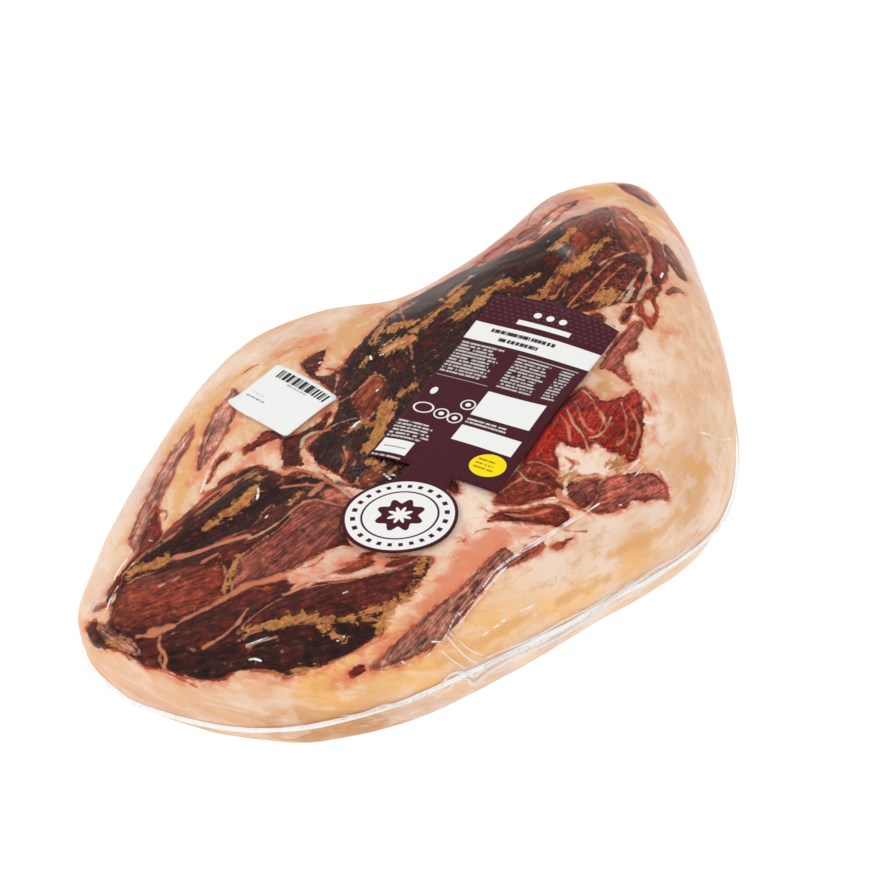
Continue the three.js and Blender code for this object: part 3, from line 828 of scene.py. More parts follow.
class Skin:
    """The outside of the ham. A place on it is also given laid out flat: heading and distance from the
    middle of the boned face, measured along the skin."""

    SECTORS = 180  # headings round the ham that are measured
    STEPS = 120  # places measured from the top of the ham to its bottom, at each heading
    MISS_STEPS = 200  # tries between a pixel off the ham and the ham's middle
    MISS_STRETCH = 1.5  # how much longer the skin is than the picture shows, at the ham's edge

    def __init__(self, node):
        self.tree = surface_tree(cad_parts[node].data)
        self.weld = weld_line(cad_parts[node].data)
        self.points = np.zeros((self.SECTORS, self.STEPS + 1, 3))
        for sector in range(self.SECTORS):
            heading = 2 * math.pi * sector / self.SECTORS
            for step in range(self.STEPS + 1):
                lift = math.pi / 2 - math.pi * step / self.STEPS
                way = Vector((
                    math.cos(lift) * math.cos(heading),
                    math.cos(lift) * math.sin(heading),
                    math.sin(lift),
                ))
                self.points[sector, step] = self.tree.ray_cast(CORE, way)[0]
        steps = np.linalg.norm(np.diff(self.points, axis=1), axis=2)
        self.reach = np.concatenate([np.zeros((self.SECTORS, 1)), np.cumsum(steps, axis=1)], axis=1)

    def flat(self, places):
        """Places on the skin laid out flat, in mm."""
        offset = np.asarray(places, float).reshape(-1, 3) - np.array(CORE)
        around = np.hypot(offset[:, 0], offset[:, 1])
        heading = np.arctan2(offset[:, 1], offset[:, 0]) % (2 * np.pi)
        sector = heading / (2 * np.pi) * self.SECTORS
        step = (np.pi / 2 - np.arctan2(offset[:, 2], around)) / np.pi * self.STEPS
        low_sector = np.floor(sector).astype(int)
        low_step = np.clip(np.floor(step).astype(int), 0, self.STEPS - 1)
        sector_share = sector - low_sector
        step_share = step - low_step
        reach = 0.0
        for next_sector in (0, 1):
            for next_step in (0, 1):
                weight = (sector_share if next_sector else 1 - sector_share) * (
                    step_share if next_step else 1 - step_share
                )
                row = (low_sector + next_sector) % self.SECTORS
                reach = reach + weight * self.reach[row, low_step + next_step]
        return 1000 * (
            np.array(CORE)[:2] + reach[:, None] * np.stack([np.cos(heading), np.sin(heading)], axis=1)
        )

    def above_weld(self, places):
        """How far above the bag's weld each place lies, in mm, negative below."""
        headings = np.arctan2(self.weld[:, 1] - CORE.y, self.weld[:, 0] - CORE.x)
        heading = np.arctan2(places[:, 1] - CORE.y, places[:, 0] - CORE.x)
        height = np.interp(heading, headings, self.weld[:, 2], period=2 * np.pi)
        return 1000 * (places[:, 2] - height)

    def seen_at(self, x, y):
        """The place of the skin that the picture shows at a pixel, or None."""
        start, look = camera_place()
        across = look.cross(Vector((0, 0, 1))).normalized()
        up = across.cross(look)
        reach = LENS_MM / SENSOR_MM * PICTURE_SIDE
        middle = PICTURE_SIDE / 2
        way = look + across * ((x - middle) / reach) - up * ((y - middle) / reach)
        return self.tree.ray_cast(start, way.normalized())[0]

    def flat_pixel(self, x, y):
        """A pixel laid out flat. One just off the ham lies as far over its edge as it misses."""
        for step in range(self.MISS_STEPS):
            share = step / self.MISS_STEPS
            near = (x + (HAM_MIDDLE_PIXEL[0] - x) * share, y + (HAM_MIDDLE_PIXEL[1] - y) * share)
            place = self.seen_at(*near)
            if place is not None:
                missed = math.dist(near, (x, y)) / PIXELS_PER_MM
                laid = self.flat([place])[0]
                outward = laid - 1000 * np.array(CORE)[:2]
                return laid + outward / np.linalg.norm(outward) * missed * self.MISS_STRETCH
        raise RuntimeError(f"pixel {x}, {y} is nowhere near the ham")

    def flat_pixels(self, pixels):
        """A line of pixels laid out flat."""
        return np.array([self.flat_pixel(x, y) for x, y in pixels])


def rounded(corners, closed=True, cuts=4):
    """A smooth line through the corners."""
    count = len(corners)
    line = []
    for index in range(count if closed else count - 1):
        if closed:
            picks = [corners[(index + shift) % count] for shift in (-1, 0, 1, 2)]
        else:
            picks = [corners[min(max(index + shift, 0), count - 1)] for shift in (-1, 0, 1, 2)]
        before, start, end, after = (np.asarray(p, float) for p in picks)
        for cut in range(cuts):
            t = cut / cuts
            line.append(0.5 * (
                2 * start + (end - before) * t + (2 * before - 5 * start + 4 * end - after) * t**2
                + (3 * start - before - 3 * end + after) * t**3
            ))
    if not closed:
        line.append(np.asarray(corners[-1], float))
    return np.array(line)


FAR_OUTSIDE = -14.0  # mm, as far as a field looks


def line_distance(places, line):
    """How far each place is from a line of points."""
    best = np.full(len(places), np.inf)
    for start, end in zip(line[:-1], line[1:]):
        along = end - start
        length = max(along @ along, 1e-9)
        share = np.clip((places - start) @ along / length, 0, 1)
        best = np.minimum(best, np.linalg.norm(places - (start + share[:, None] * along), axis=1))
    return best


def inside_distance(places, outline):
    """How far inside a closed outline each place is, negative outside."""
    result = np.full(len(places), FAR_OUTSIDE)
    low, high = outline.min(0) + FAR_OUTSIDE, outline.max(0) - FAR_OUTSIDE
    near = np.all((places > low) & (places < high), axis=1)
    local = places[near]
    closed = np.vstack([outline, outline[:1]])
    inside = np.zeros(len(local), bool)
    for start, end in zip(closed[:-1], closed[1:]):
        crosses = (start[1] > local[:, 1]) != (end[1] > local[:, 1])
        rise = end[1] - start[1] if end[1] != start[1] else 1e-9
        inside ^= crosses & (local[:, 0] < start[0] + (local[:, 1] - start[1]) / rise * (end[0] - start[0]))
    distance = line_distance(local, closed)
    result[near] = np.maximum(np.where(inside, distance, -distance), FAR_OUTSIDE)
    return result


STREAK_REACH = 12.0  # mm


def streak_field(places, streaks):
    """How far inside the nearest streak each place is, negative outside."""
    field = np.full(len(places), -STREAK_REACH)
    for half_width, pixels in streaks:
        line = rounded(SKIN.flat_pixels(pixels), closed=False)
        near = np.all(
            (places > line.min(0) - STREAK_REACH) & (places < line.max(0) + STREAK_REACH), axis=1
        )
        field[near] = np.maximum(field[near], half_width - line_distance(places[near], line))
    return field


def soft_step(value, low, high):
    """0 below low, 1 above high, and smooth between them."""
    share = np.clip((value - low) / (high - low), 0, 1)
    return share * share * (3 - 2 * share)


# ---- Meshes ----


def positions(mesh):
    places = np.zeros(len(mesh.vertices) * 3)
    mesh.vertices.foreach_get("co", places)
    return places.reshape(-1, 3)


def normals(mesh):
    ways = np.zeros(len(mesh.vertices) * 3)
    mesh.vertex_normals.foreach_get("vector", ways)
    return ways.reshape(-1, 3)


def move_to(mesh, places):
    mesh.vertices.foreach_set("co", places.ravel())
    mesh.update()


def smooth_shaded(mesh):
    for polygon in mesh.polygons:
        polygon.use_smooth = True


def new_piece(name, data):
    """An object in the scene."""
    piece = bpy.data.objects.new(name, data)
    bpy.context.scene.collection.objects.link(piece)
    return piece


@contextmanager
def opened(mesh):
    """A mesh open for editing, written back at the end."""
    shape = bmesh.new()
    shape.from_mesh(mesh)
    shape.verts.ensure_lookup_table()
    yield shape
    shape.to_mesh(mesh)
    shape.free()


SAME_PLACE = 1e-6  # m


def copied_solid(name, node, refine):
    """A mesh made from a solid: its vertices joined, then refined by a function."""
    shape = bmesh.new()
    shape.from_mesh(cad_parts[node].data)
    bmesh.ops.remove_doubles(shape, verts=shape.verts, dist=SAME_PLACE)
    refine(shape)
    mesh = bpy.data.meshes.new(name)
    shape.to_mesh(mesh)
    shape.free()
    return mesh


def paired(shape):
    """Joins the triangles of a shape in pairs."""
    limit = math.radians(50)
    bmesh.ops.join_triangles(
        shape, faces=shape.faces, angle_face_threshold=limit, angle_shape_threshold=limit
    )


def halved(shape):
    """Halves the edges of a shape."""
    bmesh.ops.subdivide_edges(shape, edges=shape.edges, cuts=1, use_grid_fill=True)


def store(mesh, name, values):
    """Keeps a number, a vector or a colour for each vertex."""
    values = np.asarray(values, np.float32)
    if values.ndim == 1:
        layer = mesh.attributes.new(name, "FLOAT", "POINT")
        layer.data.foreach_set("value", values)
    elif values.shape[1] == 3:
        layer = mesh.attributes.new(name, "FLOAT_VECTOR", "POINT")
        layer.data.foreach_set("vector", values.ravel())
    else:
        layer = mesh.attributes.new(name, "FLOAT_COLOR", "POINT")
        layer.data.foreach_set("color", values.ravel())


def rough(places, size, seed):
    """Smooth noise from -1 to 1, with bumps of that size in mm."""
    shift = Vector((seed * 17.3, seed * 5.1, seed * 29.7))
    return np.array([noise.noise(Vector(place) / size + shift) for place in places])


SUBDIVISIONS = 2


def fine_copy(name, node):
    """A smooth, fine mesh of a solid's skin."""
    coarse = copied_solid(name, node, paired)
    piece = new_piece(name, coarse)
    rounding = piece.modifiers.new("rounding", "SUBSURF")
    rounding.levels = rounding.render_levels = SUBDIVISIONS
    shown = piece.evaluated_get(bpy.context.evaluated_depsgraph_get())
    mesh = bpy.data.meshes.new_from_object(shown)
    piece.modifiers.clear()
    piece.data = mesh
    bpy.data.meshes.remove(coarse)
    mesh.name = name
    smooth_shaded(mesh)
    return piece


def finish_piece(piece, material, node):
    """Gives a piece its material, and fixes it to the body in place of a solid."""
    piece.data.materials.clear()
    piece.data.materials.append(material)
    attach(piece, "root")
    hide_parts(node)


SKIN = Skin(HAM)


# ---- Sizes and colours ----


class HamSizes(bpy.types.PropertyGroup):
    """Sizes of the finish."""

    film_inset: length("Meat below the film", "How far the meat lies inside the bag", 0.9, 0.3, 3)
    seam_depth: length("Seam depth", "How far the fat sinks along the edge of a muscle", 0.9, 0, 3)
    lump_height: length("Lump height", "Height of the soft lumps of fat and muscle", 0.8, 0, 3)
    fibre_height: length("Fibre height", "Height of the ridges along the muscles", 0.4, 0, 2)
    weld_half_width: length("Weld half width", "Half the width of the bag's weld", 1.5, 0.3, 3)


class HamColours(bpy.types.PropertyGroup):
    """Colours of the meat, the fat and the prints."""

    brown: tone("Brown meat", "Lean of the shin", 134, 55, 39)
    purple: tone("Purple meat", "Lean with a violet cast", 156, 80, 68)
    black: tone("Dark crust", "Lean that has dried nearly black", 46, 18, 16)
    dark: tone("Dark meat", "Dried lean", 88, 32, 27)
    mauve: tone("Mauve meat", "Lean seen through a little fat", 218, 150, 130)
    red: tone("Red meat", "Fresh cut lean", 144, 42, 30)
    scarlet: tone("Scarlet fleck", "Brightest lean", 186, 76, 44)
    red_meat: tone("Marbled meat", "Lean of the silverside", 168, 18, 10)
    rose: tone("Rose meat", "Pale lean", 206, 108, 90)
    grey_brown: tone("Striped meat", "Lean of the rim strip", 204, 134, 112)
    amber: tone("Amber tissue", "Sinew at the rump", 182, 92, 58)
    rust: tone("Rust meat", "Lean with an orange cast", 152, 66, 40)
    wine: tone("Wine meat", "Dark red lean", 84, 16, 12)
    ochre: tone("Ochre crust", "Dried fat on the dark lean", 214, 146, 82)
    # Also the tone of the film's painted reflection on the crest.
    mould_and_reflection: tone("Mould", "Grey bloom", 92, 80, 66)
    coral: tone("Coral fat", "Fat stained by the lean", 226, 130, 94)
    stain: tone("Stain", "Edge of the lean, where it colours the fat", 176, 70, 40)
    sinew: tone("Sinew", "Thin seams between the muscles", 214, 140, 104)
    peach: tone("Peach fat", "Fat of the rim", 231, 186, 148)
    straw: tone("Straw fat", "Yellow fat of the near rim", 248, 192, 118)
    cream: tone("Cream fat", "Pale fat", 234, 200, 164)
    ivory: tone("Ivory fat", "Palest fat", 244, 221, 202)
    tan: tone("Tan fat", "Orange tinted fat", 222, 168, 118)
    # Painted sheen: the film's whitish grazing reflection is mixed into this greyish pink fat tone.
    shell_and_sheen: tone("Shell fat", "Greyish pink fat under haze", 222, 190, 170)
    lilac: tone("Lilac fat", "Cool pink fat of the flap", 198, 144, 135)
    bark: tone("Bark fat", "Brown fat under the bag", 198, 140, 86)
    amber_fat: tone("Amber fat", "Deep yellow fat", 231, 173, 108)
    aubergine: tone("Card ground", "Printed ground of the card", 70, 22, 32)
    paper: tone("Paper", "Unprinted white", 240, 240, 238)
    lemon: tone("Lemon", "Yellow seal on the card", 252, 226, 4)
    ink: tone("Ink", "Print of the sticker", 52, 56, 52)


# ---- The meat ----


class MeatFields:
    """What each place of the ham is, worked out from the outlines. A later outline lies over an earlier
    one, and one of fat cuts a hole in them."""

    BLEND = 0.8  # mm over which one muscle's tone turns into the next one's
    GRAIN_GAP = 13.0  # mm that keep the fibres of one muscle unlike those of the next

    def __init__(self, places, colours):
        count = len(places)
        self.depth = np.full(count, FAR_OUTSIDE)
        self.seam = np.full(count, FAR_OUTSIDE)
        self.tone = np.zeros((count, 3))
        self.marbling = np.zeros(count)
        self.grain = np.zeros((count, 3))
        nearest = np.full(count, FAR_OUTSIDE - 1)
        for row, (tone_name, fibre, marbling, pixels) in enumerate(MEAT.values()):
            depth = inside_distance(places, rounded(SKIN.flat_pixels(pixels)))
            if tone_name == "fat":
                self.depth = np.minimum(self.depth, -depth)
                continue
            self.seam = np.where(depth > 0, -depth, np.maximum(self.seam, depth))
            share = np.where(depth > nearest, np.where(self.depth < 0, 1.0, 0.0), 0.0)
            share = np.maximum(share, soft_step(depth, -self.BLEND, self.BLEND))
            nearest = np.maximum(nearest, depth)
            self.depth = np.maximum(self.depth, depth)
            colour = np.array(getattr(colours, tone_name)[:])
            self.tone += (colour - self.tone) * share[:, None]
            self.marbling += (marbling - self.marbling) * share
            start, end = SKIN.flat_pixels(fibre)
            heading = (end - start) / np.linalg.norm(end - start)
            along = places @ heading
            across = places @ np.array([-heading[1], heading[0]])
            mine = share > 0.5
            muscle = np.full(count, self.GRAIN_GAP * row)
            self.grain[mine] = np.stack([along, across, muscle], axis=1)[mine]
        self.depth = np.maximum(self.depth, FAR_OUTSIDE)


SPOT_SOFTNESS = 60.0  # square mm: how far a spot's tone spreads before it fades
SPOT_FALL = 1.6


def fat_tones(places, colours):
    """The fat's colour at each place, blended between the named spots."""
    weights = np.zeros(len(places))
    total = np.zeros((len(places), 3))
    for name, pixel in FAT_SPOTS:
        spot = SKIN.flat_pixel(*pixel)
        weight = 1 / (np.sum((places - spot) ** 2, axis=1) + SPOT_SOFTNESS) ** SPOT_FALL
        total += weight[:, None] * np.array(getattr(colours, name)[:])
        weights += weight
    return total / weights[:, None]


def meat_relief(mesh, fields, sizes, tuck):
    """Moves the ham's skin: in under the film, down at the seams, into lumps and fibres, and by the tuck."""
    places = positions(mesh)
    in_mm = places / MM
    lumps = rough(in_mm, size=26, seed=1) + 0.5 * rough(in_mm, size=11, seed=2)
    fibres = rough(fields.grain * (0.06, 0.5, 1), size=1, seed=3)
    flesh = soft_step(fields.depth, 0, 2)
    edge = np.exp(-((fields.depth / 1.8) ** 2))
    seam = np.exp(-((fields.seam / 1.2) ** 2)) * flesh
    sink = (
        sizes.film_inset
        + sizes.seam_depth * np.maximum(edge, 0.7 * seam)
        + sizes.lump_height * (0.5 - 0.5 * lumps)
        + sizes.fibre_height * flesh * (0.5 - 0.5 * fibres)
        + tuck
    )
    move_to(mesh, places - normals(mesh) * sink[:, None])


def meat_material(colours):
    shade = Shade("cured_meat_and_fat")
    place = shade.object_mm()
    along, across, muscle = shade.split(shade.attribute("grain", "Vector"))
    meat_tone = shade.attribute("meat_tone", "Color")
    marbling = shade.attribute("marbling")

    # Patterns used in more than one place: blotches, crumbs, and streaks along the fibres.
    patchy = shade.noise(place, 0.055, 3.0, 0.55)
    lumpy = shade.noise(place, 0.16, 4.0, 0.6)
    crumbly = shade.noise(place, 0.55, 3.0, 0.6)
    broad = shade.noise(shade.vector(along * 0.05, across * 0.40, muscle), 1.0, 3.0, 0.6, 0.5)
    fine = shade.noise(shade.vector(along * 0.13, across * 1.5, muscle + 5.0), 1.0, 3.0, 0.6)
    frayed = shade.noise(shade.vector(along * 0.10, across * 0.65, muscle + 9.0), 1.0, 3.0, 0.65)
    gritty = shade.noise(place, 0.30, 4.0, 0.72)

    # The edge of a muscle is ragged, and frays along its fibres.
    edge = shade.attribute("meat_depth") + (lumpy - 0.5) * 3.6 + (frayed - 0.5) * 3.5
    edge = edge + (crumbly - 0.5) * 1.3
    flesh = shade.ramp(edge, -0.35, 0.35)

    # Fibres: dark and pale streaks; painted shade, near black, in the hollows; painted light, orange, on the
    # ridges.
    light = 0.40 + shade.ramp(broad, 0.40, 0.60) * 0.48 + shade.ramp(fine, 0.40, 0.62) * 0.42
    light = light * (0.72 + shade.ramp(patchy, 0.41, 0.59) * 0.46)
    light = light * (0.66 + shade.ramp(gritty, 0.40, 0.60) * 0.66)
    lean = meat_tone * light
    painted_fibre_shade = shade.ramp(frayed, 0.54, 0.62)
    lean = shade.mix(lean, linear(44, 18, 17), painted_fibre_shade * (0.78 - marbling * 0.7))
    ridge_tint_and_light = shade.ramp(fine, 0.56, 0.70) * shade.ramp(broad, 0.46, 0.58)
    lean = shade.mix(lean, shade.mix(meat_tone, colours.sinew[:], 0.6), ridge_tint_and_light * (0.22 + marbling * 0.5))
    red_cast = shade.ramp(lumpy, 0.50, 0.62) * (0.2 + marbling)
    lean = shade.mix(lean, shade.mix(meat_tone, linear(170, 40, 22), 0.5) * light, red_cast)

    # Marbling: thin crooked lines of fat, more of them in some muscles, and crumbs of yellow fat.
    web = shade.ramp(abs(shade.noise(place, 0.12, 3.0, 0.6, 1.6) - 0.5), 0.020, 0.002)
    vein = shade.ramp(abs(frayed - 0.47), 0.014, 0.002) * 0.7
    lean = shade.mix(lean, colours.sinew[:], shade.maximum(web, vein) * marbling * 0.85)
    crumb = shade.ramp(gritty, 0.62, 0.68) * shade.ramp(broad, 0.46, 0.56)
    lean = shade.mix(lean, colours.ochre[:], crumb * 0.7)

    # A pale sinew follows the border between two muscles, with a dark line beside it.
    seam = shade.attribute("seam") + (crumbly - 0.5) * 2.5 + (lumpy - 0.5) * 2.0
    lean = shade.mix(lean, linear(46, 18, 16), shade.ramp(seam, -2.6, -0.9) * 0.5)
    sinew = shade.ramp(seam, -0.8, -0.3) * shade.ramp(patchy, 0.44, 0.54)
    lean = shade.mix(lean, colours.sinew[:], sinew * 0.7)
    rim = shade.ramp(edge, 1.9, 0.1) * shade.ramp(lumpy, 0.42, 0.54)
    lean = shade.mix(lean, linear(146, 34, 20), rim * 0.6)

    # Fat: mottled, coral beside the lean, stained at its very edge.
    fat = shade.attribute("fat_tone", "Color") * (0.96 + gritty * 0.10)
    cloud = shade.ramp(shade.noise(place, 0.045, 3.0, 0.62, 0.8), 0.52, 0.68)
    fat = shade.mix(fat, colours.tan[:], cloud * 0.24)
    fat = shade.mix(fat, colours.ivory[:], shade.ramp(patchy, 0.50, 0.64) * 0.45)
    blush = shade.ramp(lumpy, 0.54, 0.68)
    fat = shade.mix(fat, colours.coral[:], blush * 0.14)

    # The rim's fat is streaked along the rim.
    x, y, z = shade.split(place)
    radius = (x * x + y * y + 1.0) ** 0.5
    rim_place = shade.vector(x / radius * 9.0, y / radius * 9.0, (radius - z * 1.4) * 0.13)
    flow = shade.noise(rim_place, 1.0, 4.0, 0.62, 0.6)
    fat = shade.mix(fat, colours.tan[:], shade.ramp(flow, 0.53, 0.66) * 0.5)
    fat = shade.mix(fat, colours.ivory[:], shade.ramp(flow, 0.47, 0.34) * 0.40)

    def line_mask(name, soft, spread, pattern):
        """Streaks of one kind, broken up by a pattern."""
        return shade.ramp(shade.attribute(name) + (pattern - 0.5) * spread, -soft, soft)

    fat = shade.mix(fat, colours.amber_fat[:], line_mask("amber_fat", 1.8, 9.0, lumpy) * 0.75)
    coral = shade.attribute("coral") + (lumpy - 0.5) * 10.0 + (flow - 0.5) * 12.0
    fat = shade.mix(fat, colours.coral[:], shade.ramp(coral, -3.5, 4.5) * 0.85)
    halo = shade.ramp(edge, -3.6, -0.1) * shade.ramp(lumpy, 0.38, 0.56)
    fat = shade.mix(fat, colours.coral[:], halo * 0.75)
    stain = shade.ramp(edge, -1.0, -0.1) * shade.ramp(patchy, 0.42, 0.54)
    fat = shade.mix(fat, colours.stain[:], stain * 0.8)

    # Lines that cross fat and lean alike.
    colour = shade.mix(fat, lean, flesh)
    # Grey mould bloom; over the crest it also stands for a painted reflection of the film.
    mould_and_reflection = shade.ramp(shade.attribute("mould_and_reflection") + (frayed - 0.5) * 22.0, -0.5, 2.5)
    colour = shade.mix(colour, colours.mould_and_reflection[:] * (0.5 + fine), mould_and_reflection * 0.38)
    colour = shade.mix(colour, linear(45, 19, 17), line_mask("black", 0.6, 5.0, frayed) * 0.8)
    line_tone = shade.mix(colours.sinew[:], colours.coral[:], patchy)
    colour = shade.mix(colour, line_tone, line_mask("coral_line", 0.6, 3.0, lumpy) * 0.85)
    crust = shade.attribute("ochre") + (frayed - 0.5) * 9.0 + (gritty - 0.5) * 11.0
    crust = shade.ramp(crust, -0.7, 0.6)
    crust_tone = shade.mix(colours.ochre[:], colours.amber[:], shade.ramp(lumpy, 0.46, 0.62) * 0.6)
    crust_light = 0.48 + shade.ramp(crumbly, 0.36, 0.60) * 0.36 + shade.ramp(fine, 0.40, 0.62) * 0.34
    colour = shade.mix(colour, crust_tone * crust_light, crust * 0.9)
    colour = shade.mix(colour, colours.stain[:], line_mask("rust_line", 0.4, 2.6, lumpy) * 0.85)
    line_tone = shade.mix(colours.coral[:], colours.cream[:], shade.ramp(patchy, 0.42, 0.56))
    line_tone = line_tone * (0.7 + gritty * 0.4)
    colour = shade.mix(colour, line_tone, line_mask("cream", 0.45, 2.4, lumpy) * 0.75)

    lean_side = shade.ramp(shade.attribute("meat_depth"), -0.5, 1.0)
    height = lean_side * fine * 0.9 + lumpy * 0.4
    return shade.surface(shade.node("ShaderNodeBsdfPrincipled", None, {
        "Base Color": colour,
        "Roughness": 0.52 - flesh * 0.1,
        "Specular IOR Level": 0.08,
        "Normal": shade.bump(height, 0.55, 0.8 * MM),
    }))


def crowd_faces(mesh, wanted):
    """Splits the faces of a mesh that touch a wanted vertex into four."""
    with opened(mesh) as shape:
        faces = (face for face in shape.faces if any(wanted[vertex.index] for vertex in face.verts))
        edges = {edge for face in faces for edge in face.edges}
        bmesh.ops.subdivide_edges(shape, edges=list(edges), cuts=1, use_grid_fill=True, smooth=0.0)


def smooth_away(mesh, wanted, rounds):
    """Smooths the wanted vertices of a mesh until a ridge is gone."""
    with opened(mesh) as shape:
        ridge_tint_and_light = [vertex for vertex in shape.verts if wanted[vertex.index]]
        for _ in range(rounds):
            bmesh.ops.smooth_vert(
                shape, verts=ridge_tint_and_light, factor=0.5, use_axis_x=True, use_axis_y=True, use_axis_z=True
            )


def keep_faces(mesh, kept):
    """Deletes the faces of a mesh that lie wholly outside the kept vertices."""
    with opened(mesh) as shape:
        gone = [face for face in shape.faces if not any(kept[vertex.index] for vertex in face.verts)]
        bmesh.ops.delete(shape, geom=gone, context="FACES")


def dress_meat(piece, looks, material, tuck):
    """Gives a piece of the ham its fields, its relief and its material."""
    mesh = piece.data
    places = SKIN.flat(positions(mesh))
    fields = MeatFields(places, looks.colours)
    solid = np.ones((len(places), 1))
    store(mesh, "meat_depth", fields.depth)
    store(mesh, "seam", fields.seam)
    store(mesh, "meat_tone", np.hstack([fields.tone, solid]))
    store(mesh, "marbling", fields.marbling)
    store(mesh, "grain", fields.grain)
    store(mesh, "fat_tone", np.hstack([fat_tones(places, looks.colours), solid]))
    for name, streaks in STREAKS.items():
        store(mesh, name, streak_field(places, streaks))
    meat_relief(mesh, fields, looks.sizes, tuck)
    finish_piece(piece, material, HAM)


class HAM_OT_meat(bpy.types.Operator):
    """Adds the meat with its fat, inside the bag: the boned face, and the skin side below the weld"""

    bl_idname = "cured_ham.meat"
    bl_label = "Meat"

    FINE_REACH = 0.9  # mm round the edges and the streaks where the mesh is finer
    OVERLAP = 1.5  # mm that the two pieces share
    RIDGE_REACH = 5.0  # mm round the weld, whose ridge is in the film and not in the meat
    RIDGE_ROUNDS = 20
    TUCK = 0.6 * MM  # the skin side lies this far inside the boned face where they overlap
    SOFT_STREAKS = ("mould_and_reflection", "coral", "amber_fat")  # their edges need no finer mesh

    def execute(self, context):
        looks = context.scene.cured_ham
        material = meat_material(looks.colours)
        for name, side in (("boned_face", 1.0), ("skin_side", -1.0)):
            piece = fine_copy(name, HAM)
            mesh = piece.data
            above_weld = SKIN.above_weld(positions(mesh))
            smooth_away(mesh, abs(above_weld) < self.RIDGE_REACH, self.RIDGE_ROUNDS)
            keep_faces(mesh, side * SKIN.above_weld(positions(mesh)) > -self.OVERLAP)
            tuck = 0.0
            if side > 0:
                self.crowd_detail(mesh, looks)
            else:
                tuck = self.TUCK * soft_step(SKIN.above_weld(positions(mesh)), -2 * self.OVERLAP, 0.0)
            smooth_shaded(mesh)
            dress_meat(piece, looks, material, tuck)
        return {"FINISHED"}

    def crowd_detail(self, mesh, looks):
        """Makes the mesh finer round the edges of the muscles and the sharp streaks."""
        places = SKIN.flat(positions(mesh))
        fine = abs(MeatFields(places, looks.colours).depth) < self.FINE_REACH
        for kind, streaks in STREAKS.items():
            if kind not in self.SOFT_STREAKS:
                fine |= streak_field(places, streaks) > -self.FINE_REACH
        crowd_faces(mesh, fine)


# ---- The bag ----


def film_material(name, whiteness, gloss, roughness, wrinkles):
    """Clear film: mirror where it glances, else clear, with some white: milky haze, painted sheen and
    painted glints.
    """
    shade = Shade(name)
    place = shade.object_mm()
    ripple = shade.noise(place, 0.13, 2.0, 0.55)
    crinkle = shade.attribute("crinkle")
    creased = abs(shade.noise(place, 0.48, 1.0, 0.6) - 0.5) * crinkle
    normal = shade.bump(ripple * wrinkles + creased * 3.0, 0.7, 1.5 * MM)
    clear = shade.node("ShaderNodeBsdfTransparent", None, {"Color": (1.0, 1.0, 1.0)})
    mirror = shade.node("ShaderNodeBsdfGlossy", None, {
        "Color": (1.0, 1.0, 1.0), "Roughness": roughness, "Normal": normal,
    })
    glance = shade.node("ShaderNodeFresnel", None, {"IOR": 1.45, "Normal": normal})
    film = shade.mixed_shader(clear, mirror, shade.math("MINIMUM", glance * gloss, 0.16))
    white = shade.node("ShaderNodeBsdfDiffuse", None, {"Color": (0.95, 0.94, 0.92), "Normal": normal})
    # Painted light: the glints are painted highlights and the haze fields partly painted sheen, both mixed
    # in as white diffuse.
    glint = shade.ramp(shade.attribute("glint") + (ripple - 0.5) * 1.2, -0.25, 0.25)
    milk_and_painted_light = shade.maximum(shade.attribute("haze_and_sheen") * (0.5 + ripple) * 0.30 + whiteness, glint * 0.92)
    return shade.surface(shade.mixed_shader(film, white, milk_and_painted_light))


def plain_film(mesh, crinkle):
    """The same crinkles and the same haze and painted sheen all over a strip of film, and no glint."""
    flat = np.zeros(len(mesh.vertices))
    store(mesh, "crinkle", flat + crinkle)
    store(mesh, "haze_and_sheen", flat + 1.0)
    store(mesh, "glint", flat - 1.0)


class HAM_OT_bag(bpy.types.Operator):
    """Adds the clear bag shrunk onto the ham"""

    bl_idname = "cured_ham.bag"
    bl_label = "Bag"

    CREASE_DEPTH = 0.35 * MM
    GLINT_REACH = 3.0  # mm round the glints where the mesh is finer

    def execute(self, context):
        piece = fine_copy("shrink_bag", HAM)
        mesh = piece.data
        glints = streak_field(SKIN.flat(positions(mesh)), GLINTS)
        crowd_faces(mesh, glints > -self.GLINT_REACH)
        smooth_shaded(mesh)
        places = positions(mesh)
        flat = SKIN.flat(places)
        crinkle = soft_step(streak_field(flat, CRINKLES), -4.0, 3.0)
        store(mesh, "crinkle", crinkle)
        store(mesh, "haze_and_sheen", soft_step(streak_field(flat, HAZE_AND_SHEEN), -4.0, 6.0))
        store(mesh, "glint", streak_field(flat, GLINTS))
        sink = (1 - rough(places / MM, size=7, seed=8)) * crinkle * self.CREASE_DEPTH
        move_to(mesh, places - normals(mesh) * sink[:, None])
        finish_piece(piece, film_material("clear_film", 0.0, 0.28, 0.08, 0.6), HAM)
        piece.visible_shadow = False
        return {"FINISHED"}


ARCH = ((-1.0, -0.2), (-0.5, 0.6), (0.0, 1.0), (0.5, 0.6), (1.0, -0.2))  # shares of width and height


def ribbon(line, ups, half_widths, heights, closed):
    """The corners and faces of a thin arched ribbon of film along a line of places."""
    count = len(line)
    corners = []
    for index in range(count):
        before = line[(index - 1) % count] if closed else line[max(index - 1, 0)]
        after = line[(index + 1) % count] if closed else line[min(index + 1, count - 1)]
        along = Vector(after) - Vector(before)
        up = Vector(ups[index]).normalized()
        side = along.cross(up).normalized()
        for across, lift in ARCH:
            shift = side * across * half_widths[index] + up * lift * heights[index]
            corners.append(Vector(line[index]) + shift)
    size = len(ARCH)
    faces = []
    for index in range(count if closed else count - 1):
        here, there = index * size, (index + 1) % count * size
        for corner in range(size - 1):
            faces.append((here + corner, here + corner + 1, there + corner + 1, there + corner))
    return corners, faces


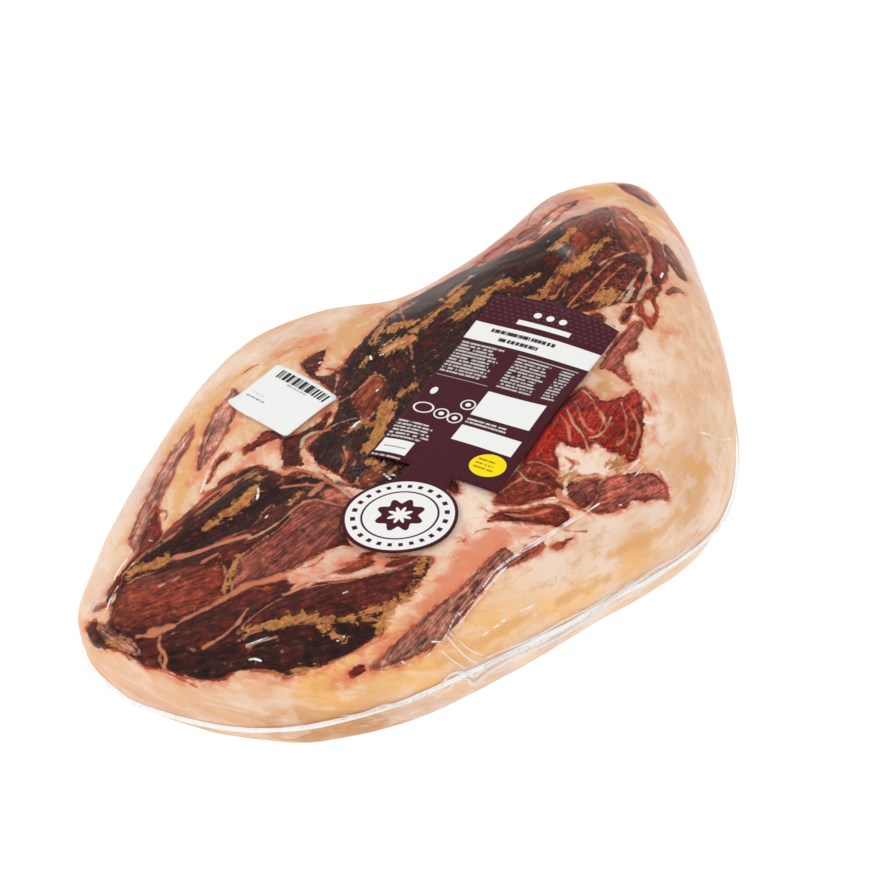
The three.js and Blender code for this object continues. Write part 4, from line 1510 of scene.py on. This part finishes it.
def film_piece(name, corners, faces, crinkle, material):
    """A piece made of ribbons of film."""
    mesh = bpy.data.meshes.new(name)
    mesh.from_pydata([tuple(corner) for corner in corners], [], faces)
    with opened(mesh) as shape:
        bmesh.ops.recalc_face_normals(shape, faces=shape.faces)
    smooth_shaded(mesh)
    piece = new_piece(name, mesh)
    plain_film(mesh, crinkle)
    finish_piece(piece, material, HAM)
    piece.visible_shadow = False


class HAM_OT_weld(bpy.types.Operator):
    """Adds the welded edge of the bag, along the ridge of the solid"""

    bl_idname = "cured_ham.weld"
    bl_label = "Welded edge"

    THIN_FROM = (-32, -20)  # headings in degrees between which it grows thinner
    THIN_TO = (-80, -60)  # the same, the other way round
    THINNER = 0.65
    INSET = 1.0 * MM  # from the ridge's edge
    ARCH_HEIGHT = 0.8 * MM
    WAVE = 0.5 * MM

    def execute(self, context):
        sizes = context.scene.cured_ham.sizes
        line = rounded(SKIN.weld, cuts=3)
        line[:, 2] += self.WAVE * rough(line / MM, size=14, seed=5)
        outward = line - np.array(CORE)
        outward[:, 2] = 0
        outward /= np.linalg.norm(outward, axis=1)[:, None]
        line -= outward * self.INSET
        heading = np.degrees(np.arctan2(outward[:, 1], outward[:, 0]))
        thin = soft_step(heading, *self.THIN_FROM) * soft_step(-heading, *self.THIN_TO)
        swell = (1 + 0.3 * rough(line / MM, size=9, seed=6)) * (1 - self.THINNER * thin)
        widths, heights = sizes.weld_half_width * swell, self.ARCH_HEIGHT * swell
        corners, faces = ribbon(line, outward, widths, heights, closed=True)
        # The weld's white is partly its milky film and partly a painted highlight along it.
        material = film_material("weld_film", 0.88, 0.0, 0.15, 0.1)
        film_piece("bag_weld", corners, faces, 0.5, material)
        return {"FINISHED"}


class HAM_OT_folds(bpy.types.Operator):
    """Adds the folds of film that stand up from the bag"""

    bl_idname = "cured_ham.folds"
    bl_label = "Folds of film"

    STEEPNESS = 0.9  # a fold's height for its half width
    TAPER = 0.4  # the smaller, the blunter its ends

    def execute(self, context):
        corners, faces = [], []
        for half_width, pixels in FOLDS:
            dense = rounded(pixels, closed=False, cuts=max(8, 60 // len(pixels)))
            seen = (SKIN.seen_at(x, y) for x, y in dense)
            line = [place for place in seen if place is not None]
            ups = [SKIN.tree.find_nearest(place)[1] for place in line]
            share = np.linspace(0, 1, len(line))
            widths = half_width * MM * np.sin(np.pi * np.clip(share, 0.02, 0.98)) ** self.TAPER
            base = len(corners)
            more_corners, more_faces = ribbon(line, ups, widths, self.STEEPNESS * widths, closed=False)
            corners += more_corners
            faces += [tuple(base + corner for corner in face) for face in more_faces]
        # The folds' white is partly creased milky film and partly painted highlight.
        material = film_material("fold_film", 0.42, 0.05, 0.12, 0.2)
        film_piece("film_folds", corners, faces, 0.6, material)
        return {"FINISHED"}


# ---- The card and the sticker ----

# Where the paper pieces lie, in mm from the middle of the drawing, and which way their own axes point, in
# degrees. They aren't quite square, because both lie on a bent surface.
DRAWING_SHIFT = (0.25, 0.97)  # from the ham's middle
CARD_AT, CARD_ACROSS, CARD_UP = (2.7, -22.6), -70.6, 15.7
STICKER_AT, STICKER_ACROSS, STICKER_UP = (-63.5, 51.4), 4.5, 89.0

# The tag on the card's own axes.
TAG_AT = (0.8, -89.8)
TAG_HALF_LENGTH = 25.0
TAG_HALF_WIDTH = 22.0
TAG_TURN = 33.0

SEAT = 0.12  # mm between the film and a paper piece
SOLID_SEAT = 0.4  # mm between the solids
LOOSE_SHARE = 0.8  # of how far a loose corner of the solid stands up


def drawn_places(places, at, *axes):
    """Places of a paper piece on its own two axes, in mm, with a third number of 0."""
    offset = places[:, :2] / MM - np.array(DRAWING_SHIFT) - np.array(at)
    turns = np.radians(axes)
    drawn = np.linalg.solve(np.stack([np.cos(turns), np.sin(turns)]), offset.T).T
    return np.column_stack([drawn, np.zeros(len(drawn))])


def paper_piece(name, node, at, across, up, wave):
    """A fine copy of a paper solid, laid on the film with a slight wave."""
    mesh = copied_solid(name, node, halved)
    film = surface_tree(bpy.data.objects["shrink_bag"].data)
    places = positions(mesh)
    drawn = drawn_places(places, at, across, up)
    ripple = wave * (1 + rough(drawn, size=22, seed=12))
    down = Vector((0, 0, -1))
    for index, (x, y, z) in enumerate(places):
        above = Vector((x, y, 2 * CAD_BOX[1][2]))
        solid = SKIN.tree.ray_cast(above, down)[0]
        skin = film.ray_cast(above, down)[0]
        lift = max((z - solid.z) / MM - SOLID_SEAT, 0)
        places[index, 2] = skin.z + (SEAT + lift * LOOSE_SHARE + ripple[index]) * MM
    move_to(mesh, places)
    store(mesh, "drawn", drawn)
    smooth_shaded(mesh)
    mesh.set_sharp_from_angle(angle=math.radians(35))
    return new_piece(name, mesh)


class Print:
    """Plain shapes printed on paper, as masks from 0 to 1 over the drawing's x and y in mm."""

    BLUR = 0.12

    def __init__(self, shade):
        self.shade = shade
        self.x, self.y, _ = shade.split(shade.attribute("drawn", "Vector"))

    def block(self, left, right, low, high):
        """A rectangle."""
        middle_x, middle_y = (left + right) / 2, (low + high) / 2
        out_x = abs(self.x - middle_x) - (right - left) / 2
        out_y = abs(self.y - middle_y) - (high - low) / 2
        return self.shade.ramp(self.shade.maximum(out_x, out_y), self.BLUR, -self.BLUR)

    def distance(self, middle, half_x, half_y, turn=0.0):
        """Distance from an ellipse's middle, 1 on its rim."""
        angle = math.radians(turn)
        x, y = self.x - middle[0], self.y - middle[1]
        along = (x * math.cos(angle) + y * math.sin(angle)) / half_x
        across = (y * math.cos(angle) - x * math.sin(angle)) / half_y
        return (along * along + across * across) ** 0.5

    def disc(self, middle, half_x, half_y, turn=0.0):
        """A filled ellipse."""
        blur = self.BLUR / min(half_x, half_y)
        return self.shade.ramp(self.distance(middle, half_x, half_y, turn), 1 + blur, 1 - blur)

    def ring(self, middle, half_x, half_y, width, turn=0.0):
        """The line of an ellipse."""
        blur = self.BLUR / min(half_x, half_y)
        half = width / 2 / min(half_x, half_y)
        off = abs(self.distance(middle, half_x, half_y, turn) - 1.0)
        return self.shade.ramp(off, half + blur, max(half - blur, 0.0))

    def dashes(self, left, right, low, high, pitch, thickness, seed):
        """Rows of dashes of uneven length, as wide as plain small print."""
        row = self.shade.math("FLOOR", (self.y - low) / pitch)
        within = (self.y - low) / pitch - row
        bar = self.shade.ramp(abs(within - 0.5), thickness / 2 + 0.12, thickness / 2 - 0.12)
        broken = self.shade.noise(self.shade.vector(self.x * 0.9, row * 7.3 + seed, seed), 1.0, 2.0)
        ends = self.shade.noise(self.shade.vector(row * 3.7, seed * 1.3, 2.0), 1.0, 0.0)
        fits = self.shade.ramp(self.x - (right - (right - left) * 0.45 * ends), 0.2, -0.2)
        return bar * self.shade.ramp(broken, 0.40, 0.46) * fits * self.block(left, right, low, high)


def paper_surface(shade, colour, roughness, coat):
    """Smooth coated paper with a faint grain."""
    grain = shade.noise(shade.object_mm(), 2.5, 3.0)
    broad = shade.noise(shade.object_mm(), 0.12, 2.0)
    return shade.surface(shade.node("ShaderNodeBsdfPrincipled", None, {
        "Base Color": colour * (0.96 + grain * 0.05),
        "Roughness": roughness + broad * 0.08,
        "Specular IOR Level": 0.12,
        "Coat Weight": coat,
        "Coat Roughness": 0.15,
        "Normal": shade.bump(grain, 0.1, 0.1 * MM),
    }))


def card_material(colours):
    shade = Shade("printed_card")
    draw = Print(shade)
    ground = colours.aubergine[:]
    white = colours.paper[:]

    # Top field: rows of small lozenges, one row shifted against the next.
    cell_wide, cell_high = 3.4, 2.6
    row = shade.math("FLOOR", draw.y / cell_high)
    odd = shade.math("MODULO", row, 2.0)
    cell_x = shade.math("FRACT", (draw.x + odd * (cell_wide / 2) + 100.0) / cell_wide)
    cell_y = draw.y / cell_high - row
    lozenge = abs(cell_x - 0.5) * 1.6 + abs(cell_y - 0.5) * 2.4
    dots = shade.ramp(lozenge, 0.75, 0.45) * draw.block(-33, 33, 44, 66)
    colour = shade.mix(ground, linear(104, 66, 84), dots * 0.55)

    # White print: a bar under three discs, fields, rows of dashes, and rings.
    dotted_rings = ((-15.0, -24.0), (-6.8, -14.0), (-8.0, -24.5))
    white_print = shade.maximum(
        draw.block(-13.5, 13.5, 45.0, 48.2),
        *(draw.disc((x, 53.5), 1.9, 1.9) for x in (-6.5, 0.0, 6.5)),
        draw.block(-34, 34, 28.5, 41.0),
        draw.block(-2.8, 26.4, -19.4, -2.0),
        draw.block(-2.8, 26.8, -37.6, -27.0),
        draw.block(-30.8, -15.8, -56.0, -46.6),
        draw.block(-2.0, 28.5, 25.0, 25.5) * 0.7,
        draw.block(-31, -5.0, 0.6, 1.0) * 0.45,
        draw.dashes(-31.0, -4.0, 3.0, 27.0, 2.15, 0.55, 1.0) * 0.62,
        draw.dashes(-1.5, 20.0, 1.6, 24.0, 2.05, 0.5, 4.0) * 0.62,
        draw.dashes(21.0, 29.0, 1.6, 24.0, 2.05, 0.5, 8.0) * 0.62,
        draw.dashes(-2.6, 20.0, -25.6, -21.4, 2.1, 0.5, 5.0) * 0.75,
        draw.dashes(-31.0, -8.0, -45.6, -33.0, 2.1, 0.5, 6.0) * 0.7,
        draw.dashes(-31.0, -12.0, -59.6, -57.4, 2.1, 0.5, 7.0) * 0.7,
        *(draw.ring(place, 3.2, 3.2, 0.7) for place in dotted_rings),
        draw.ring((-24.5, -23.0), 4.6, 3.4, 0.7),
        draw.disc((-26.0, -10.5), 1.6, 2.6),
        *(draw.disc(place, 1.3, 1.3) for place in dotted_rings),
    )
    colour = shade.mix(colour, white, white_print)

    # Dark rows on the white banner, and plain strokes on the small white block.
    dark_rows = shade.maximum(
        draw.dashes(-22.0, 20.0, 35.6, 39.0, 3.4, 0.72, 12.0),
        draw.dashes(-16.0, 12.0, 30.6, 34.0, 3.4, 0.72, 15.0),
        draw.block(-28.8, -17.8, -52.0, -51.2) * 0.6,
    )
    colour = shade.mix(colour, linear(58, 44, 48), dark_rows)

    # A yellow seal, plain inside.
    seal_at = (20.3, -46.6)
    colour = shade.mix(colour, linear(40, 18, 52), draw.disc(seal_at, 8.9, 7.9, 20.0))
    colour = shade.mix(colour, colours.lemon[:], draw.disc(seal_at, 8.2, 7.2, 20.0))
    seal_rows = draw.dashes(14.5, 26.0, -50.5, -42.8, 2.6, 0.32, 21.0)
    colour = shade.mix(colour, linear(60, 42, 10), seal_rows * 0.8)

    # The tag: a white disc with a ring of beads, a thin ring and a rosette.
    disc = draw.disc(TAG_AT, TAG_HALF_LENGTH - 1.5, TAG_HALF_WIDTH - 1.5, TAG_TURN)
    colour = shade.mix(colour, white, disc)
    inner = draw.ring(TAG_AT, 16.5, 14.0, 0.8, TAG_TURN)
    x, y = draw.x - TAG_AT[0], draw.y - TAG_AT[1]
    turn = shade.math("ARCTAN2", y, x)
    petal_count, bead_count = 8.0, 24.0
    petal = draw.distance(TAG_AT, 9.5, 8.3, TAG_TURN) - shade.math("COSINE", turn * petal_count) * 0.16
    rosette = shade.ramp(petal, 1.02, 0.98) * shade.ramp(petal, 0.42, 0.46)
    beads = shade.ramp(shade.math("COSINE", turn * bead_count), 0.1, 0.4)
    bead_ring = draw.ring(TAG_AT, 20.2, 17.5, 1.9, TAG_TURN) * beads
    colour = shade.mix(colour, ground, shade.maximum(inner, rosette, bead_ring))
    return paper_surface(shade, colour, 0.42, 0.06)


def sticker_material(colours):
    shade = Shade("weight_sticker_paper")
    draw = Print(shade)
    ink = shade.ramp(shade.noise(shade.vector(draw.y, 3.0, 1.0), 1.0, 0.0), 0.46, 0.48)
    bars = ink * draw.block(9.6, 15.4, -18.5, 15.5)
    number_rows = shade.ramp(shade.noise(shade.vector(draw.y * 1.6, 8.0, 4.0), 1.0, 1.0), 0.47, 0.5)
    numbers = number_rows * draw.block(7.6, 9.0, -8.0, 5.0) * 0.55
    weight_line = number_rows * draw.block(-7.6, -6.6, 5.0, 18.0) * 0.8
    date_line = number_rows * draw.block(-4.4, -3.6, 8.0, 17.0) * 0.35
    marks = shade.maximum(bars, numbers, weight_line, date_line)
    colour = shade.mix(colours.paper[:], colours.ink[:], marks)
    return paper_surface(shade, colour, 0.5, 0.04)


class HAM_OT_card(bpy.types.Operator):
    """Adds the die-cut card with its round tag"""

    bl_idname = "cured_ham.card"
    bl_label = "Card"

    def execute(self, context):
        piece = paper_piece("card_and_tag", CARD, CARD_AT, CARD_ACROSS, CARD_UP, wave=0.18)
        material = card_material(context.scene.cured_ham.colours)
        finish_piece(piece, material, CARD)
        return {"FINISHED"}


class HAM_OT_sticker(bpy.types.Operator):
    """Adds the weight sticker with its loose corner"""

    bl_idname = "cured_ham.sticker"
    bl_label = "Sticker"

    def execute(self, context):
        piece = paper_piece(
            "sticker_with_bars", STICKER, STICKER_AT, STICKER_ACROSS, STICKER_UP, wave=0.1
        )
        material = sticker_material(context.scene.cured_ham.colours)
        finish_piece(piece, material, STICKER)
        return {"FINISHED"}


# ---- The stage ----


def area_light(name, place, size, power):
    """A soft white light that looks at the ham."""
    lamp = bpy.data.lights.new(name, "AREA")
    lamp.shape = "RECTANGLE"
    lamp.size, lamp.size_y = size
    lamp.energy = power
    holder = new_piece(name, lamp)
    holder.visible_glossy = False
    holder.location = place
    holder.rotation_euler = (CAMERA_TARGET - Vector(place)).to_track_quat("-Z", "Y").to_euler()


class HAM_OT_stage(bpy.types.Operator):
    """Adds the floor, the soft studio light and the camera"""

    bl_idname = "cured_ham.stage"
    bl_label = "Stage"

    FLOOR_REACH = 8.0  # m

    def execute(self, context):
        scene = context.scene
        reach = self.FLOOR_REACH
        corners = [(-reach, -reach, 0), (reach, -reach, 0), (reach, reach, 0), (-reach, reach, 0)]
        mesh = bpy.data.meshes.new("floor")
        mesh.from_pydata(corners, [], [(0, 1, 2, 3)])
        floor = new_piece("floor", mesh)
        floor.location.z = -0.5 * MM
        shade = Shade("pale_floor")
        mesh.materials.append(
            shade.surface(shade.node("ShaderNodeBsdfPrincipled", None, {
                "Base Color": (0.12, 0.12, 0.12), "Roughness": 0.9,
                "Emission Color": (1.0, 1.0, 1.0), "Emission Strength": 0.97,
            }))
        )

        world = bpy.data.worlds.new("studio")
        world.use_nodes = True
        background = world.node_tree.nodes["Background"]
        background.inputs["Color"].default_value = (1.0, 1.0, 1.0, 1.0)
        background.inputs["Strength"].default_value = 0.76
        scene.world = world
        area_light("key_light", (-1.3, 0.9, 1.7), (0.7, 0.7), 11.5)
        area_light("side_light", (1.5, -0.4, 1.0), (0.5, 1.2), 4.5)
        area_light("front_light", (-0.9, -1.4, 1.0), (1.4, 0.5), 2.8)

        camera = bpy.data.cameras.new("camera")
        camera.lens = LENS_MM
        camera.sensor_width = SENSOR_MM
        holder = new_piece("camera", camera)
        place, look = camera_place()
        holder.location = place
        holder.rotation_euler = look.to_track_quat("-Z", "Y").to_euler()
        scene.camera = holder
        scene.view_settings.view_transform = "Standard"
        return {"FINISHED"}


# ---- The add-on ----


class HamLooks(bpy.types.PropertyGroup):
    """All that a user would change."""

    sizes: bpy.props.PointerProperty(type=HamSizes, name="Sizes", description="Sizes of the finish")
    colours: bpy.props.PointerProperty(type=HamColours, name="Colours", description="Colours of the ham")


PIECES = (HAM_OT_meat, HAM_OT_bag, HAM_OT_weld, HAM_OT_folds, HAM_OT_card, HAM_OT_sticker, HAM_OT_stage)


class HAM_PT_panel(bpy.types.Panel):
    """Lists the pieces"""

    bl_idname = "HAM_PT_panel"
    bl_label = "Cured ham"
    bl_space_type = "VIEW_3D"
    bl_region_type = "UI"
    bl_category = "Cured ham"

    def draw(self, context):
        looks = context.scene.cured_ham
        for operator in PIECES:
            self.layout.operator(operator.bl_idname)
        for group in (looks.sizes, looks.colours):
            for name in group.__annotations__:
                self.layout.prop(group, name)


CLASSES = (HamSizes, HamColours, HamLooks, *PIECES, HAM_PT_panel)


def register():
    """Makes the pieces, the sizes and the colours known to Blender."""
    for kind in CLASSES:
        bpy.utils.register_class(kind)
    bpy.types.Scene.cured_ham = bpy.props.PointerProperty(type=HamLooks)


def unregister():
    del bpy.types.Scene.cured_ham
    for kind in reversed(CLASSES):
        bpy.utils.unregister_class(kind)


def main():
    """Makes every piece."""
    register()
    for operator in PIECES:
        family, name = operator.bl_idname.split(".")
        getattr(getattr(bpy.ops, family), name)()


if __name__ == "__main__":
    main()
